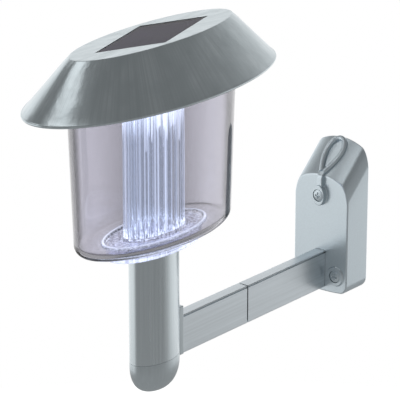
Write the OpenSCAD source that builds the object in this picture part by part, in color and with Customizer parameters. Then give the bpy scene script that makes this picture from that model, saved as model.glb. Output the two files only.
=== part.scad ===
// Solar fence light on a wall bracket.
// Origin at the middle of the bracket's back, on the wall. The light stands out along -Y, +Z is up.

/* [Roof] */
// Length of the roof's rim, along the arm
roof_len = 178; // [168:1:190]
// Width of the roof's rim
roof_w = 77; // [75:1:90]
// Height of the roof above its rim
roof_h = 27; // [26:0.2:32]
// Length of the flat top
top_len = 121; // [113:1:127]
// Width of the flat top
top_w = 36; // [34.8:0.4:42]
// Thickness of the roof's sheet
roof_t = 1; // [0.8:0.1:1.4]
// Height of the rolled lip
lip_h = 1.8; // [1.6:0.1:2.4]
// How far the rolled lip turns inwards
lip_in = 3.5; // [3:0.1:4]

/* [Solar panel] */
// Distance from the panel window's end corners to the ends of the flat top
panel_end_gap = 17; // [16.5:0.5:24]
// Distance from the panel window's side corners to the sides of the flat top
panel_side_gap = 3.4; // [3.2:0.1:7]
// How far the window's side corners are shifted along the roof
panel_skew = 7; // [0:0.5:8]
// Thickness of the cell laminate
cell_t = 2; // [1.5:0.1:2.2]
// Thickness of the clear cover
cover_t = 1.6; // [1.4:0.1:1.8]
// How far the cover lies below the flat top
cover_sink = 0.2; // [0.1:0.05:0.3]
// How far the laminate reaches under the roof
panel_rim = 2.5; // [1.5:0.1:2.6]

/* [Lens] */
// Length of the lens at its top
lens_len = 115; // [110:1:120]
// Width of the lens at its top
lens_w = 56.8; // [54:0.2:58]
// Height of the lens above its floor
lens_h = 79.8; // [60:0.2:100]
// How much longer the lens is at its top than at its floor
taper_len = 6; // [4:0.2:12]
// How much wider the lens is at its top than at its floor
taper_w = 3.2; // [2:0.2:5]
// Wall of the lens
lens_t = 2.2; // [1.8:0.1:2.6]
// Radius of the lens's lower edge
lens_edge = 5; // [3:0.5:6]
// Length of the collar under the lens
collar_len = 67; // [56:1:72]
// Width of the collar under the lens
collar_w = 32; // [28:0.5:34]
// Height of the collar
collar_h = 6.6; // [5:0.1:9]
// Length of the bead ring on the lens's floor
ring_len = 72; // [66:1:80]
// Width of the bead ring on the lens's floor
ring_w = 31; // [29:0.2:37]
// Radius of the bead ring
ring_r = 1.2; // [0.8:0.1:1.4]
// Thickness of the rubber ring between lens and head
seal_t = 2.2; // [1.6:0.1:3]

/* [Light tube] */
// Length of the fluted tube's section, along the arm
tube_len = 42.6; // [40:0.2:48]
// Width of the fluted tube's section
tube_w = 20.2; // [19.4:0.2:22]
// Wall of the fluted tube
tube_t = 1.4; // [1.1:0.1:1.5]
// Depth of a flute
flute_d = 0.6; // [0.3:0.1:0.8]
// Number of flutes
flutes = 26; // [16:2:32]

/* [Post] */
// Length of the post's section, along the arm
post_len = 33.6; // [31:0.2:38]
// Width of the post's section
post_w = 20; // [18:0.2:22]
// Wall of the post
post_t = 1.2; // [0.8:0.1:1.5]
// Height of the post above the arm's middle
post_up = 55.8; // [40:1:90]
// How far the post reaches below the arm's middle
post_down = 7.2; // [6.8:0.1:12]
// Height of the rounded end cap
cap_h = 15.4; // [12:0.2:17]

/* [Arm] */
// Distance from the wall to the post's axis
reach = 163; // [150:1:200]
// How far the arm's middle lies below the bracket's middle
arm_drop = 30; // [27:0.5:30]
// Width of the arm
arm_w = 7; // [6.6:0.1:8]
// Height of the arm
arm_h = 22; // [20:0.5:22]
// Wall of the arm
arm_t = 1.2; // [1:0.1:1.3]
// Distance from the wall to the joint between the arm's halves
arm_joint = 89; // [60:1:100]
// How far the front arm can be drawn out of the rear arm
arm_travel = 16; // [8:1:18]

/* [Bracket] */
// Width of the bracket
brk_w = 37.4; // [36:0.2:44]
// Height of the bracket
brk_h = 87.5; // [84:0.5:100]
// Depth of the bracket
brk_d = 19.3; // [18:0.1:24]
// How far the sloping top rises from the front to the wall
slope_rise = 18; // [14:0.5:22]
// Wall of the bracket cover
brk_t = 2; // [1.6:0.1:2.4]
// Thickness of the wall plate
plate_t = 3; // [2:0.1:4]
// Diameter of the two holes for the wall screws
wall_hole_d = 5; // [4:0.1:6]
// Distance between the two holes for the wall screws
wall_hole_gap = 33; // [28:1:34]

/* [Screws] */
// Diameter of the cover screws
cover_screw_d = 3.5; // [3:0.1:4]
// Diameter of their pan heads
cover_head_d = 7; // [6:0.1:7.4]
// Diameter of the cross screws in the arm
arm_screw_d = 3; // [2.5:0.1:3.2]
// Diameter of the screws inside the post
post_screw_d = 2.5; // [2:0.1:2.8]
// Diameter of the screws in the head
head_screw_d = 2.4; // [2:0.1:2.6]

/* [Hidden] */

// Clearances and the one overrun of every cut
gap = 0.05;
loose_gap = 0.3;
over = 1;

// Smoothness of true rounds, and sides of every oval
$fn = 48;
oval_sides = 72;
lip_steps = 4;
round_steps = 4;

// Heights, from the arm upwards and downwards
arm_z = -arm_drop;
collar_z = arm_z + post_up;
floor_z = collar_z + collar_h;
lens_top_z = floor_z + lens_h;
base_z = lens_top_z + seal_t;
rim_z = base_z - roof_t;
top_z = rim_z + roof_h;
post_bot_z = arm_z - post_down;

// Half lengths and half widths of the ovals: [along the arm, across it]
function half(length, width) = [length / 2, width / 2];
rim = half(roof_len, roof_w);
top = half(top_len, top_w);
lens_top = half(lens_len, lens_w);
lens_bot = half(lens_len - taper_len, lens_w - taper_w);
collar = half(collar_len, collar_w);
ring = half(ring_len, ring_w);
tube = half(tube_len, tube_w);
post = half(post_len, post_w);
panel_len = top_len - 2 * panel_end_gap;
panel_w = top_w - 2 * panel_side_gap;

// Roof side: the oval at a height, and its sheet measured level through the sloping side
lip_r = lip_h / 2;
crest_shares = [[0.5, 0], [0.15, 0.1], [0, 0.6]];
side_level = roof_t * sqrt(2);
roof_foot_z = rim_z + lip_h;
function grow(oval, by) = [oval[0] + by, oval[1] + by];
function mix(a, b, share) = a + (b - a) * share;
function side_at(z) = mix(top, grow(rim, -lip_r), (top_z - z) / (top_z - roof_foot_z));

// Stack under the flat top
cell_z = top_z - cover_sink - cover_t - cell_t;
gasket_t = cover_t + cover_sink - roof_t;
tray_t = 1.8;
tray_z = cell_z - tray_t;
tray_gap = 1;
base_t = 2;
base_top_z = base_z + base_t;

// Head pieces, placed from the post's axis
pillar_x = 13.5;
pillar_y = 28;
pillar_r = 3;
skirt_h = 4.4;
skirt_t = 1.6;
skirt_gap = 0.8;
board_len = 49;
board_w = 20;
board_t = 1.6;
board_end = 5;
standoff_h = 4.2;
standoff_r = 1.4;
standoff_in = 2;
board_z = base_top_z + standoff_h;
led_r = 2.5;
led_flange_r = 2.9;
led_flange_t = 1;
led_len = 7.6;
lead_r = 0.3;
lead_gap = 2.54;
cup_r = 7.6;
cup_len = 7;
cup_t = 0.7;
cup_flange_r = 8.4;
cup_flange_t = 0.8;
cell_d = 14.5;
cell_len = 49.5;
nub_d = 5.5;
nub_len = 1;
holder_start = 7;
holder_wall = 1.4;
holder_floor = 1;
holder_rail_h = 8;
holder_end_h = 10;
contact_t = 0.4;
contact_w = 8;
spring_len = 4.6;
spring_d = 7;
spring_tip_d = 5;
wire_r = 0.6;
panel_wire_x = 3;
panel_wire_y = 20;
switch_y = 36;
switch_w = 5;
switch_len = 11.4;
switch_h = 4;
slider_w = 3;
slider_len = 4.6;
slider_h = 1.8;
stem_w = 1.8;
stem_len = 2.4;
knob_h = 2;
switch_travel = 4;
head_edge_share = 0.4;
head_top_share = 0.36;
slot_w_share = 0.14;
slot_len_share = 0.56;
slot_d_share = 0.5;
head_screw_head_d = 4.8;
head_screw_head_h = 1.6;
head_screw_len = 12;
holder_len = 2 * holder_wall + 2 * contact_t + nub_len + cell_len + spring_len + 2 * gap;
cell_r = cell_d / 2;
cell_axis_z = base_top_z + holder_floor + gap + cell_r;
cell_start = holder_start + holder_wall + contact_t + gap + nub_len;

// Lens details
seat_gap = 0.4;
seat_w = 1.2;
seat_h = 1.6;
seat_share = 0.8;
collar_t = 1.8;
rib_count = 26;
spigot_wall = 2;
spigot_rib = 0.5;
flange_plate_t = 1.5;
plug_in = 14;
plug_wall = 2;

// End cap: straight side under the post, then a dome
cap_side = 3;
cap_plug_h = 6;
cap_wall = 2;
dome_power = 0.65;
dome_steps = 8;

// Arm and flange
arm_in_w = arm_w - 2 * arm_t;
arm_in_h = arm_h - 2 * arm_t;
flange_t = 2.1;
flange_w = 8.4;
flange_up = 5.8;
flange_wrap = 2.4;
tenon_len = 12;
groove_h = 0.7;
groove_d = 0.7;
groove_drop = 0.5;
joint_gap = 0.8;
spigot_hold = 4;
spigot_in = arm_travel + spigot_hold;
arm_front_end = -reach + post[0] + flange_t;
post_screw_up = 4.2;
post_screw_gap = 5.6;
post_screw_head_d = 4.4;
post_screw_head_h = 1.5;
post_screw_len = 9;
post_in = grow(post, -post_t);
post_screw_seat = post_in[0] * sqrt(1 - pow(post_screw_head_d / 2 / post_in[1], 2)) - 2 * gap;
arm_screw_y = 10;
arm_screw_share = 0.25;
arm_screw_head_d = 5;
arm_screw_head_h = 1.8;
arm_nut_d = 5.6;
arm_nut_h = 1.8;
plate_tenon_len = 14;

// Bracket shape: arch of the top, clipped corners and rounded foot
slope_angle = atan(slope_rise / brk_d);
slope_len = norm([slope_rise, brk_d]);
arch_side = 16;
arch_drop = 4.4;
clip_drop = 12;
foot_r = 7;
foot_drop = 1.6;
front_top_z = brk_h / 2 - slope_rise;
function drop_to_r(side, drop) = (side * side + drop * drop) / (2 * drop);
arch_r = drop_to_r(arch_side, arch_drop * cos(slope_angle));
foot_arc_r = drop_to_r(brk_w / 2, foot_drop);

// Screw bosses and the raised bead on the cover
boss_top_z = 14.2;
wall_hole_share = 0.4;
wall_hole_z = boss_top_z + wall_hole_gap * wall_hole_share;
boss_len = 12;
boss_w = 8;
boss_out = 3.2;
low_boss_x = 11;
low_boss_z = -32.8;
low_boss_d = 11;
low_boss_out = 1.2;
head_sink = 1.2;
cover_head_h = 1.6;
pillar_d = 6.4;
cover_screw_len = 16;
bead_r = 1.3;
bead_half = 6.6;
bead_len = 24.4;
bead_start = 0.3;
bead_steps = 40;
bead_sides = 8;
bead_open = 40;
neck_up = 4;
neck_w = 3.6;
neck_out = 2.4;

// Shared shapes

// Points of an oval, half[0] along Y and half[1] along X
function oval_points(half, sides = oval_sides) =
  [for (i = [0:sides - 1]) [half[1] * cos(360 * i / sides), half[0] * sin(360 * i / sides)]];

// Straight oval bar
module oval_bar(half, height) {
  linear_extrude(height) polygon(oval_points(half));
}

// Straight oval tube with its wall inside
module oval_tube(half, wall, height) {
  linear_extrude(height)
    difference() {
      polygon(oval_points(half));
      polygon(oval_points(grow(half, -wall)));
    }
}

// Closed solid through a list of level ovals, each [z, half], from its lower cap to its upper cap
module oval_loft(rings) {
  n = oval_sides;
  last = len(rings) - 1;
  points = [for (r = rings) for (p = oval_points(r[1])) [p[0], p[1], r[0]]];
  sides = [for (i = [0:last - 1]) for (j = [0:n - 1]) let (k = (j + 1) % n)
    each [[i * n + j, (i + 1) * n + j, (i + 1) * n + k], [i * n + j, (i + 1) * n + k, i * n + k]]];
  bottom = [[for (j = [0:n - 1]) j]];
  cap = [[for (j = [n - 1:-1:0]) last * n + j]];
  polyhedron(points, concat(bottom, sides, cap), convexity = 8);
}

// Moves a piece to the post's axis
module at_post(z = 0) {
  translate([0, -reach, z]) children();
}

// Box centred on X and Y that stands on its own floor
module box(w, l, h) {
  translate([-w / 2, -l / 2, 0]) cube([w, l, h]);
}

// The panel window's outline, moved outwards on every side
panel_long = [0, -panel_len / 2];
panel_side = [panel_w / 2, -panel_skew];
edge_a = (panel_long + panel_side) / 2;
edge_b = (panel_long - panel_side) / 2;
edge_area = norm(cross([edge_a[0], edge_a[1], 0], [edge_b[0], edge_b[1], 0]));
function window_points(out) =
  let (a = edge_a * (1 + out * norm(edge_b) / edge_area),
    b = edge_b * (1 + out * norm(edge_a) / edge_area))
  [a + b, b - a, -a - b, a - b];

module window_bar(out, height) {
  linear_extrude(height) polygon(window_points(out));
}

// Head

// Oval sheet roof, open below, with a rolled lip and the panel window
module roof_shell() {
  lip_mid_z = rim_z + lip_r;
  shelf_z = rim_z + roof_t;
  rings = concat(
    [[top_z - roof_t, grow(side_at(top_z - roof_t), -side_level)],
     [shelf_z, grow(side_at(shelf_z), -side_level)],
     [shelf_z, grow(rim, -lip_in)],
     [rim_z, grow(rim, -lip_in)]],
    [for (i = [0:lip_steps]) let (t = -90 + 120 * i / lip_steps)
      [lip_mid_z + lip_r * sin(t), grow(rim, -lip_r + lip_r * cos(t))]],
    [[roof_foot_z, grow(rim, -lip_r)]],
    [for (c = crest_shares) [top_z - roof_t * c[0], grow(side_at(top_z - roof_t * c[0]), -roof_t * c[1])]]
  );
  color("#A9B1B4")
    at_post()
      difference() {
        oval_loft(rings);
        translate([0, 0, top_z - roof_t - over]) window_bar(gap, roof_t + 2 * over);
      }
}

// Clear cover, a little below the flat top
module panel_cover() {
  color("#5C5464") at_post(cell_z + cell_t) window_bar(0, cover_t);
}

// Dark cell laminate that reaches under the roof
module solar_panel() {
  color("#3A3444") at_post(cell_z) window_bar(panel_rim, cell_t);
}

// Foam frame between the laminate and the roof
module panel_gasket() {
  color("#2B2B2B")
    at_post(cell_z + cell_t)
      difference() {
        window_bar(panel_rim, gasket_t);
        translate([0, 0, -over]) window_bar(gap, gasket_t + 2 * over);
      }
}

// Places for the four pillars
module at_pillars() {
  for (x = [-pillar_x, pillar_x], y = [-pillar_y, pillar_y])
    translate([x, y, 0]) children();
}

// Plate under the panel, on four pillars that stand on the base
module panel_tray() {
  pillar_h = tray_z - base_top_z;
  color("#3C4042")
    difference() {
      union() {
        at_post(tray_z) oval_bar(grow(side_at(tray_z + tray_t), -side_level - tray_gap), tray_t);
        at_post(base_top_z) at_pillars() cylinder(h = pillar_h + tray_t / 2, r = pillar_r);
      }
      at_post(base_top_z - over)
        at_pillars() cylinder(h = head_screw_len + over, r = head_screw_d / 2 + gap);
      at_post(tray_z - over)
        for (x = [-panel_wire_x, panel_wire_x])
          translate([x, -panel_wire_y, 0]) cylinder(h = tray_t + 2 * over, r = 2 * wire_r);
    }
}

// Oval base plate that rests on the rolled lip, with the skirt that drops into the lens
module head_base() {
  skirt = grow(lens_top, -lens_t - skirt_gap);
  standoff_y = [board_end - board_len + standoff_in, board_end - standoff_in];
  color("#C9CED0")
    difference() {
      union() {
        at_post()
          oval_loft([
            [base_z, grow(side_at(base_z), -side_level - loose_gap)],
            [base_top_z, grow(side_at(base_top_z), -side_level - loose_gap)]]);
        at_post(base_z - skirt_h) oval_tube(skirt, skirt_t, skirt_h + base_t / 2);
        at_post(base_top_z - base_t / 2)
          for (x = [-1, 1], y = standoff_y)
            translate([x * (board_w / 2 - standoff_in), y, 0])
              cylinder(h = standoff_h + base_t / 2, r = standoff_r);
      }
      at_post(base_z - over) cylinder(h = base_t + 2 * over, r = led_r + gap);
      at_post(base_z - over)
        at_pillars() cylinder(h = base_t + 2 * over, r = head_screw_d / 2 + loose_gap);
      at_post(base_z - over)
        translate([0, -switch_y, 0])
          box(stem_w + 2 * loose_gap, stem_len + switch_travel + 2 * loose_gap, base_t + 2 * over);
    }
}

// Rubber ring between the lens's rim and the base
module head_seal() {
  color("#D8DCDD")
    at_post(lens_top_z + gap) oval_tube(grow(lens_top, -gap), lens_t - 2 * gap, seal_t - 2 * gap);
}

// Pan-head screw that points up from the seat at its origin
module screw(d, head_d, head_h, length) {
  edge_h = head_h * head_edge_share;
  difference() {
    union() {
      cylinder(h = length, r = d / 2);
      translate([0, 0, -edge_h]) cylinder(h = edge_h, r = head_d / 2);
      translate([0, 0, -head_h])
        cylinder(h = head_h - edge_h, r1 = head_d * head_top_share, r2 = head_d / 2);
    }
    for (turn = [0, 90])
      rotate([0, 0, turn])
        translate([0, 0, -head_h - over])
          box(head_d * slot_w_share, head_d * slot_len_share, over + head_h * slot_d_share);
  }
}

module head_screws() {
  color("#9BA1A5")
    at_post(base_z) at_pillars()
      screw(head_screw_d, head_screw_head_d, head_screw_head_h, head_screw_len);
}

// Charging and switching board on its four standoffs
module circuit_board() {
  color("#2F6B45")
    at_post(board_z)
      difference() {
        translate([0, board_end - board_len / 2, 0]) box(board_w, board_len, board_t);
        for (x = [-lead_gap / 2, lead_gap / 2])
          translate([x, 0, -over]) cylinder(h = board_t + 2 * over, r = lead_r + gap);
      }
}

// White light-emitting diode, its dome down, and its two legs
module led() {
  tip_z = base_top_z - led_len;
  color("#F2F6FF")
    at_post() {
      translate([0, 0, tip_z + led_r]) sphere(r = led_r);
      translate([0, 0, tip_z + led_r]) cylinder(h = led_len - led_r + led_flange_t, r = led_r);
      translate([0, 0, base_top_z]) cylinder(h = led_flange_t, r = led_flange_r);
      for (x = [-lead_gap / 2, lead_gap / 2])
        translate([x, 0, base_top_z]) cylinder(h = standoff_h + board_t, r = lead_r);
    }
}

// Bright cup round the diode, under the base
module led_reflector() {
  mouth_z = -cup_len;
  throat_r = led_r + gap;
  color("#E4E8EA")
    at_post(base_z)
      rotate_extrude()
        polygon([
          [throat_r, 0], [cup_flange_r, 0], [cup_flange_r, -cup_flange_t],
          [throat_r + cup_flange_t + cup_t, -cup_flange_t], [cup_r + cup_t, mouth_z], [cup_r, mouth_z],
          [throat_r, -cup_flange_t]]);
}

// Cradle for the cell, on the base, behind the board
module battery_holder() {
  width = cell_d + 2 * gap + 2 * holder_wall;
  color("#2E3133")
    at_post(base_top_z)
      translate([-width / 2, holder_start, 0])
        difference() {
          union() {
            cube([width, holder_len, holder_rail_h]);
            for (y = [0, holder_len - holder_wall])
              translate([0, y, 0]) cube([width, holder_wall, holder_end_h]);
          }
          translate([holder_wall, holder_wall, holder_floor])
            cube([width - 2 * holder_wall, holder_len - 2 * holder_wall, holder_end_h]);
        }
}

// Lays a piece that was drawn along Z along the battery's axis, its foot at y
module along_cell(y) {
  at_post(cell_axis_z) translate([0, y, 0]) rotate([-90, 0, 0]) children();
}

// One AA cell with its nub towards the post
module battery() {
  color("#4E7A3A")
    along_cell(cell_start) {
      cylinder(h = cell_len, r = cell_r);
      translate([0, 0, -nub_len]) cylinder(h = nub_len + over / 2, r = nub_d / 2);
    }
}

// Spring and its plate at the far end
module battery_spring() {
  plate_y = cell_start + cell_len + gap + spring_len;
  color("#B9BEC2") {
    along_cell(plate_y) box(contact_w, contact_w, contact_t);
    along_cell(cell_start + cell_len + gap)
      cylinder(h = spring_len, r1 = spring_tip_d / 2, r2 = spring_d / 2);
  }
}

// Contact plate at the nub
module battery_contact() {
  color("#B9BEC2")
    along_cell(holder_start + holder_wall) box(contact_w, contact_w, contact_t);
}

// Wire from the far end of the holder to the board's underside
module battery_lead() {
  wire_x = cell_r + gap + holder_wall + wire_r;
  wire_end = holder_start + holder_len;
  color("#B03A34")
    at_post(board_z - wire_r)
      translate([wire_x, wire_end, 0])
        rotate([90, 0, 0]) cylinder(h = wire_end - board_end + wire_r, r = wire_r);
}

// Two wires from the board up to the panel
module panel_leads() {
  color("#B03A34")
    at_post(board_z + board_t)
      for (x = [-panel_wire_x, panel_wire_x])
        translate([x, -panel_wire_y, 0]) cylinder(h = cell_z - board_z - board_t, r = wire_r);
}

// Switch housing on the base, hollow for its slider
module switch_body() {
  room_len = slider_len + switch_travel + 2 * loose_gap;
  color("#3A3D40")
    at_post(base_top_z)
      translate([0, -switch_y, 0])
        difference() {
          box(switch_w, switch_len, switch_h);
          translate([0, 0, -over]) box(slider_w + 2 * gap, room_len, over + slider_h + 2 * loose_gap);
        }
}

// Slider at the off end of its travel, with the knob under the base
module switch_slider() {
  off_y = -switch_y - switch_travel / 2;
  stem_h = base_t + knob_h + 2 * loose_gap;
  color("#F0F0EE")
    at_post(base_top_z)
      translate([0, off_y, 0]) {
        translate([0, 0, loose_gap / 2]) box(slider_w, slider_len, slider_h);
        translate([0, 0, loose_gap - stem_h]) box(stem_w, stem_len, stem_h);
      }
}

// Lens

// Clear lens in one closed profile: collar, floor, round lower edge, wall, rim, floor bead and tube seat
module lens_shell() {
  inner_top = grow(lens_top, -lens_t);
  inner_bot = grow(lens_bot, -lens_t);
  inner_z = floor_z + lens_t;
  seat = grow(tube, seat_gap);
  inner_edge = lens_edge - lens_t / 2;
  rings = concat(
    [[floor_z, grow(collar, -collar_t)], [collar_z, grow(collar, -collar_t)],
     [collar_z, collar], [floor_z, collar]],
    [for (i = [0:round_steps]) let (t = 90 * i / round_steps)
      [floor_z + lens_edge * (1 - cos(t)), grow(lens_bot, lens_edge * (sin(t) - 1))]],
    [[lens_top_z, lens_top], [lens_top_z, inner_top]],
    [for (i = [0:round_steps]) let (t = 90 - 90 * i / round_steps)
      [inner_z + inner_edge * (1 - cos(t)), grow(inner_bot, inner_edge * (sin(t) - 1))]],
    [for (i = [0:round_steps]) let (t = 180 * i / round_steps)
      [inner_z + ring_r * sin(t), grow(ring, ring_r * cos(t))]],
    [[inner_z, grow(seat, seat_w)], [inner_z + seat_h, grow(seat, seat_w * seat_share)],
     [inner_z + seat_h, seat], [inner_z, seat]]
  );
  color("#C5C2CE", 0.4) at_post() oval_loft(rings);
}

// Points of an oval with round flutes or ribs
function fluted_points(half, depth, count, steps = 6) =
  [for (i = [0:count * steps - 1])
    let (t = 360 * i / (count * steps), d = depth * (1 - cos(count * t)) / 2)
    [(half[1] - d) * cos(t), (half[0] - d) * sin(t)]];

// Clear fluted tube that stands on the lens's floor
module light_tube() {
  tube_z = floor_z + lens_t + gap;
  color("#E6E8F4", 0.5)
    at_post(tube_z)
      linear_extrude(base_z - loose_gap - tube_z)
        difference() {
          polygon(fluted_points(tube, flute_d, flutes));
          polygon(oval_points(grow(tube, -tube_t)));
        }
}

// Post and front arm

// Oval tube with two holes for the screws that hold the arm
module post_tube() {
  color("#A8B2B6")
    difference() {
      at_post(post_bot_z) oval_tube(post, post_t, collar_z - post_bot_z);
      at_post_screws()
        translate([0, 0, -flange_wrap]) cylinder(h = post_screw_len, r = post_screw_d / 2 + gap);
    }
}

// Ribbed plug in the post's top that the lens sits on
module post_socket() {
  core = grow(post, -loose_gap);
  plate = grow(collar, -collar_t - 2 * gap);
  color("#DCDDE6") {
    at_post(collar_z - plug_in) oval_tube(grow(post_in, -gap), plug_wall, plug_in + flange_plate_t / 2);
    at_post(collar_z)
      oval_tube(plate, plate[1] - post[1] + 2 * plug_wall, flange_plate_t);
    at_post(collar_z + flange_plate_t / 2)
      linear_extrude(collar_h - flange_plate_t / 2 - 2 * gap)
        difference() {
          polygon(fluted_points(core, spigot_rib, rib_count));
          polygon(oval_points(grow(core, -spigot_wall)));
        }
  }
}

// Rounded plug that closes the post's lower end
module post_end_cap() {
  plug = grow(post_in, -gap);
  dome_z = post_bot_z - cap_side;
  inner_z = post_bot_z - cap_side / 2;
  rings = concat(
    [for (i = [0:dome_steps]) let (t = max(90 * i / dome_steps, 2), f = pow(sin(t), dome_power))
      [dome_z - cap_h * cos(t), post * f]],
    [[post_bot_z - gap, post], [post_bot_z - gap, plug], [post_bot_z + cap_plug_h, plug],
     [post_bot_z + cap_plug_h, grow(plug, -cap_wall)], [inner_z, grow(plug, -cap_wall)]]
  );
  color("#A0AAAE") at_post() oval_loft(rings);
}

// Box along the arm from y0 to y1, centred on its axis
module arm_box(w, h, y0, y1) {
  translate([-w / 2, y0, arm_z - h / 2]) cube([w, y1 - y0, h]);
}

// Bar that fits inside the arm, from y0 to y1
module arm_insert(y0, y1) {
  arm_box(arm_in_w - 2 * gap, arm_in_h - 2 * gap, y0, y1);
}

// Plate that wraps the post's edge, with a tenon for the front arm
module arm_flange() {
  post_edge = -reach + post[0];
  color("#98A2A6")
    difference() {
      union() {
        translate([-flange_w / 2, post_edge - flange_wrap, arm_z - arm_h / 2])
          cube([flange_w, flange_wrap + flange_t, arm_h + flange_up]);
        arm_insert(arm_front_end - flange_t / 2, arm_front_end + tenon_len);
      }
      at_post(post_bot_z - cap_h) oval_bar(grow(post, gap), post_up + post_down + cap_h);
      at_post_screws() cylinder(h = post_screw_len + 2 * over, r = post_screw_d / 2 + gap);
    }
}

// Places for the two screws inside the post: origin on the head's seat, pointing along the arm
module at_post_screws() {
  for (side = [-1, 1])
    translate([0, -reach + post_screw_seat, arm_z + post_screw_up + side * post_screw_gap / 2])
      rotate([-90, 0, 0]) children();
}

module arm_screws() {
  color("#8F969A")
    at_post_screws() screw(post_screw_d, post_screw_head_d, post_screw_head_h, post_screw_len);
}

// Rectangular tube along the arm with a fine groove under its top edges
module arm_tube(y0, y1) {
  groove_z = arm_z + arm_h / 2 - groove_drop - groove_h;
  difference() {
    arm_box(arm_w, arm_h, y0, y1);
    arm_box(arm_in_w, arm_in_h, y0 - over, y1 + over);
    for (side = [-1, 1])
      translate([side * arm_w / 2 - groove_d, y0 - over, groove_z])
        cube([2 * groove_d, y1 - y0 + 2 * over, groove_h]);
  }
}

module arm_front() {
  color("#A6B0B5") arm_tube(arm_front_end, -arm_joint - joint_gap / 2);
}

// Insert fixed in the front arm that slides in the rear arm
module arm_spigot() {
  color("#5A6165") arm_insert(-arm_joint - spigot_in, -arm_joint + spigot_in);
}

// Wall bracket

// Rear arm: reaches through the cover to the wall plate
module arm_rear() {
  color("#A6B0B5")
    difference() {
      arm_tube(-arm_joint + joint_gap / 2, -plate_t - gap);
      at_arm_bolts() cylinder(h = arm_w + 2 * over, r = arm_screw_d / 2 + gap, center = true);
    }
}

// Places for the two cross screws: origin on the arm's middle, pointing across the arm
module at_arm_bolts() {
  for (side = [-1, 1])
    translate([0, -arm_screw_y, arm_z + side * arm_h * arm_screw_share])
      rotate([0, -90, 0]) children();
}

module arm_bolts() {
  color("#8F969A")
    at_arm_bolts()
      translate([0, 0, -arm_w / 2])
        screw(arm_screw_d, arm_screw_head_d, arm_screw_head_h, arm_w + arm_nut_h + arm_screw_d / 4);
}

module arm_nuts() {
  color("#8F969A")
    at_arm_bolts()
      translate([0, 0, arm_w / 2 + gap])
        difference() {
          cylinder(h = arm_nut_h, r = arm_nut_d / 2, $fn = 6);
          translate([0, 0, -over]) cylinder(h = arm_nut_h + 2 * over, r = arm_screw_d / 2 + gap);
        }
}

// Front view of the bracket: rounded foot with a slight arc, open at the top
module foot_outline(inset) {
  w = brk_w / 2 - inset;
  r = foot_r - inset;
  foot_z = -brk_h / 2 + inset;
  intersection() {
    union() {
      translate([-w, foot_z + r]) square([2 * w, brk_h]);
      translate([-w + r, foot_z]) square([2 * (w - r), brk_h]);
      for (x = [-1, 1]) translate([x * (w - r), foot_z + r]) circle(r = r);
    }
    union() {
      translate([0, foot_z + foot_arc_r]) circle(r = foot_arc_r, $fn = 96);
      translate([-brk_w, foot_z + foot_arc_r / 2]) square([2 * brk_w, 2 * brk_h]);
    }
  }
}

// Section across the sloping top: arch with clipped corners, its crown at the origin
module slope_outline(inset) {
  w = brk_w / 2 - inset;
  tilt = cos(slope_angle);
  clip_in = arch_side - inset;
  translate([0, -inset])
    intersection() {
      polygon([
        [-w, -2 * brk_h], [w, -2 * brk_h], [w, -clip_drop * tilt], [clip_in, -arch_drop * tilt],
        [clip_in, brk_h], [-clip_in, brk_h], [-clip_in, -arch_drop * tilt], [-w, -clip_drop * tilt]]);
      union() {
        translate([0, -arch_r]) circle(r = arch_r, $fn = 96);
        translate([-w, -3 * brk_h]) square([2 * w, 3 * brk_h - arch_r]);
      }
    }
}

// Body of the bracket, drawn in by inset on every side but the wall's, from the front to y = back
module bracket_form(inset, back) {
  intersection() {
    translate([0, back, 0]) rotate([90, 0, 0]) linear_extrude(brk_d - inset + back) foot_outline(inset);
    translate([0, 0, brk_h / 2])
      rotate([90 + slope_angle, 0, 0])
        translate([0, 0, -2 * brk_d]) linear_extrude(slope_len + 4 * brk_d) slope_outline(inset);
  }
}

// Places for the cover's screws: origin on the cover's front face, pointing to the wall
module at_low_bosses() {
  for (x = [-low_boss_x, low_boss_x]) at_front(x, low_boss_z) children();
}

module at_front(x, z) {
  translate([x, -brk_d, z]) rotate([-90, 0, 0]) children();
}

module at_cover_screws() {
  at_front(0, boss_top_z) translate([0, 0, -boss_out]) children();
  at_low_bosses() translate([0, 0, -low_boss_out]) children();
}

// Raised bead: a leaf-shaped loop on the sloping top
function bead_mid(t) =
  let (x = bead_half * sin(t) * sin(t / 2), sag = arch_r - sqrt(arch_r * arch_r - x * x))
  [x, bead_start + bead_len * (1 - cos(t)) / 2, -sag];
slope_up = [0, cos(slope_angle), sin(slope_angle)];
slope_out = [0, -sin(slope_angle), cos(slope_angle)];
function on_slope(p) = [0, -brk_d, front_top_z] + [p[0], 0, 0] + slope_up * p[1] + slope_out * p[2];

module bead_loop() {
  steps = [for (i = [0:bead_steps]) bead_open + (360 - 2 * bead_open) * i / bead_steps];
  points = [for (t = steps)
    let (ahead = bead_mid(t + 1) - bead_mid(t - 1),
      side = [-ahead[1], ahead[0], 0] / norm([ahead[0], ahead[1]]))
    for (k = [0:bead_sides - 1])
      let (a = 360 * k / bead_sides)
      on_slope(bead_mid(t) + side * bead_r * cos(a) + [0, 0, bead_r * sin(a)])];
  n = bead_sides;
  sides = [for (i = [0:bead_steps - 1]) for (k = [0:n - 1]) let (m = (k + 1) % n)
    each [[i * n + k, (i + 1) * n + k, (i + 1) * n + m], [i * n + k, (i + 1) * n + m, i * n + m]]];
  last = bead_steps * n;
  ends = [for (k = [1:n - 2]) each [[0, k, k + 1], [last, last + k + 1, last + k]]];
  polyhedron(points, concat(sides, ends), convexity = 6);
}

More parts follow.
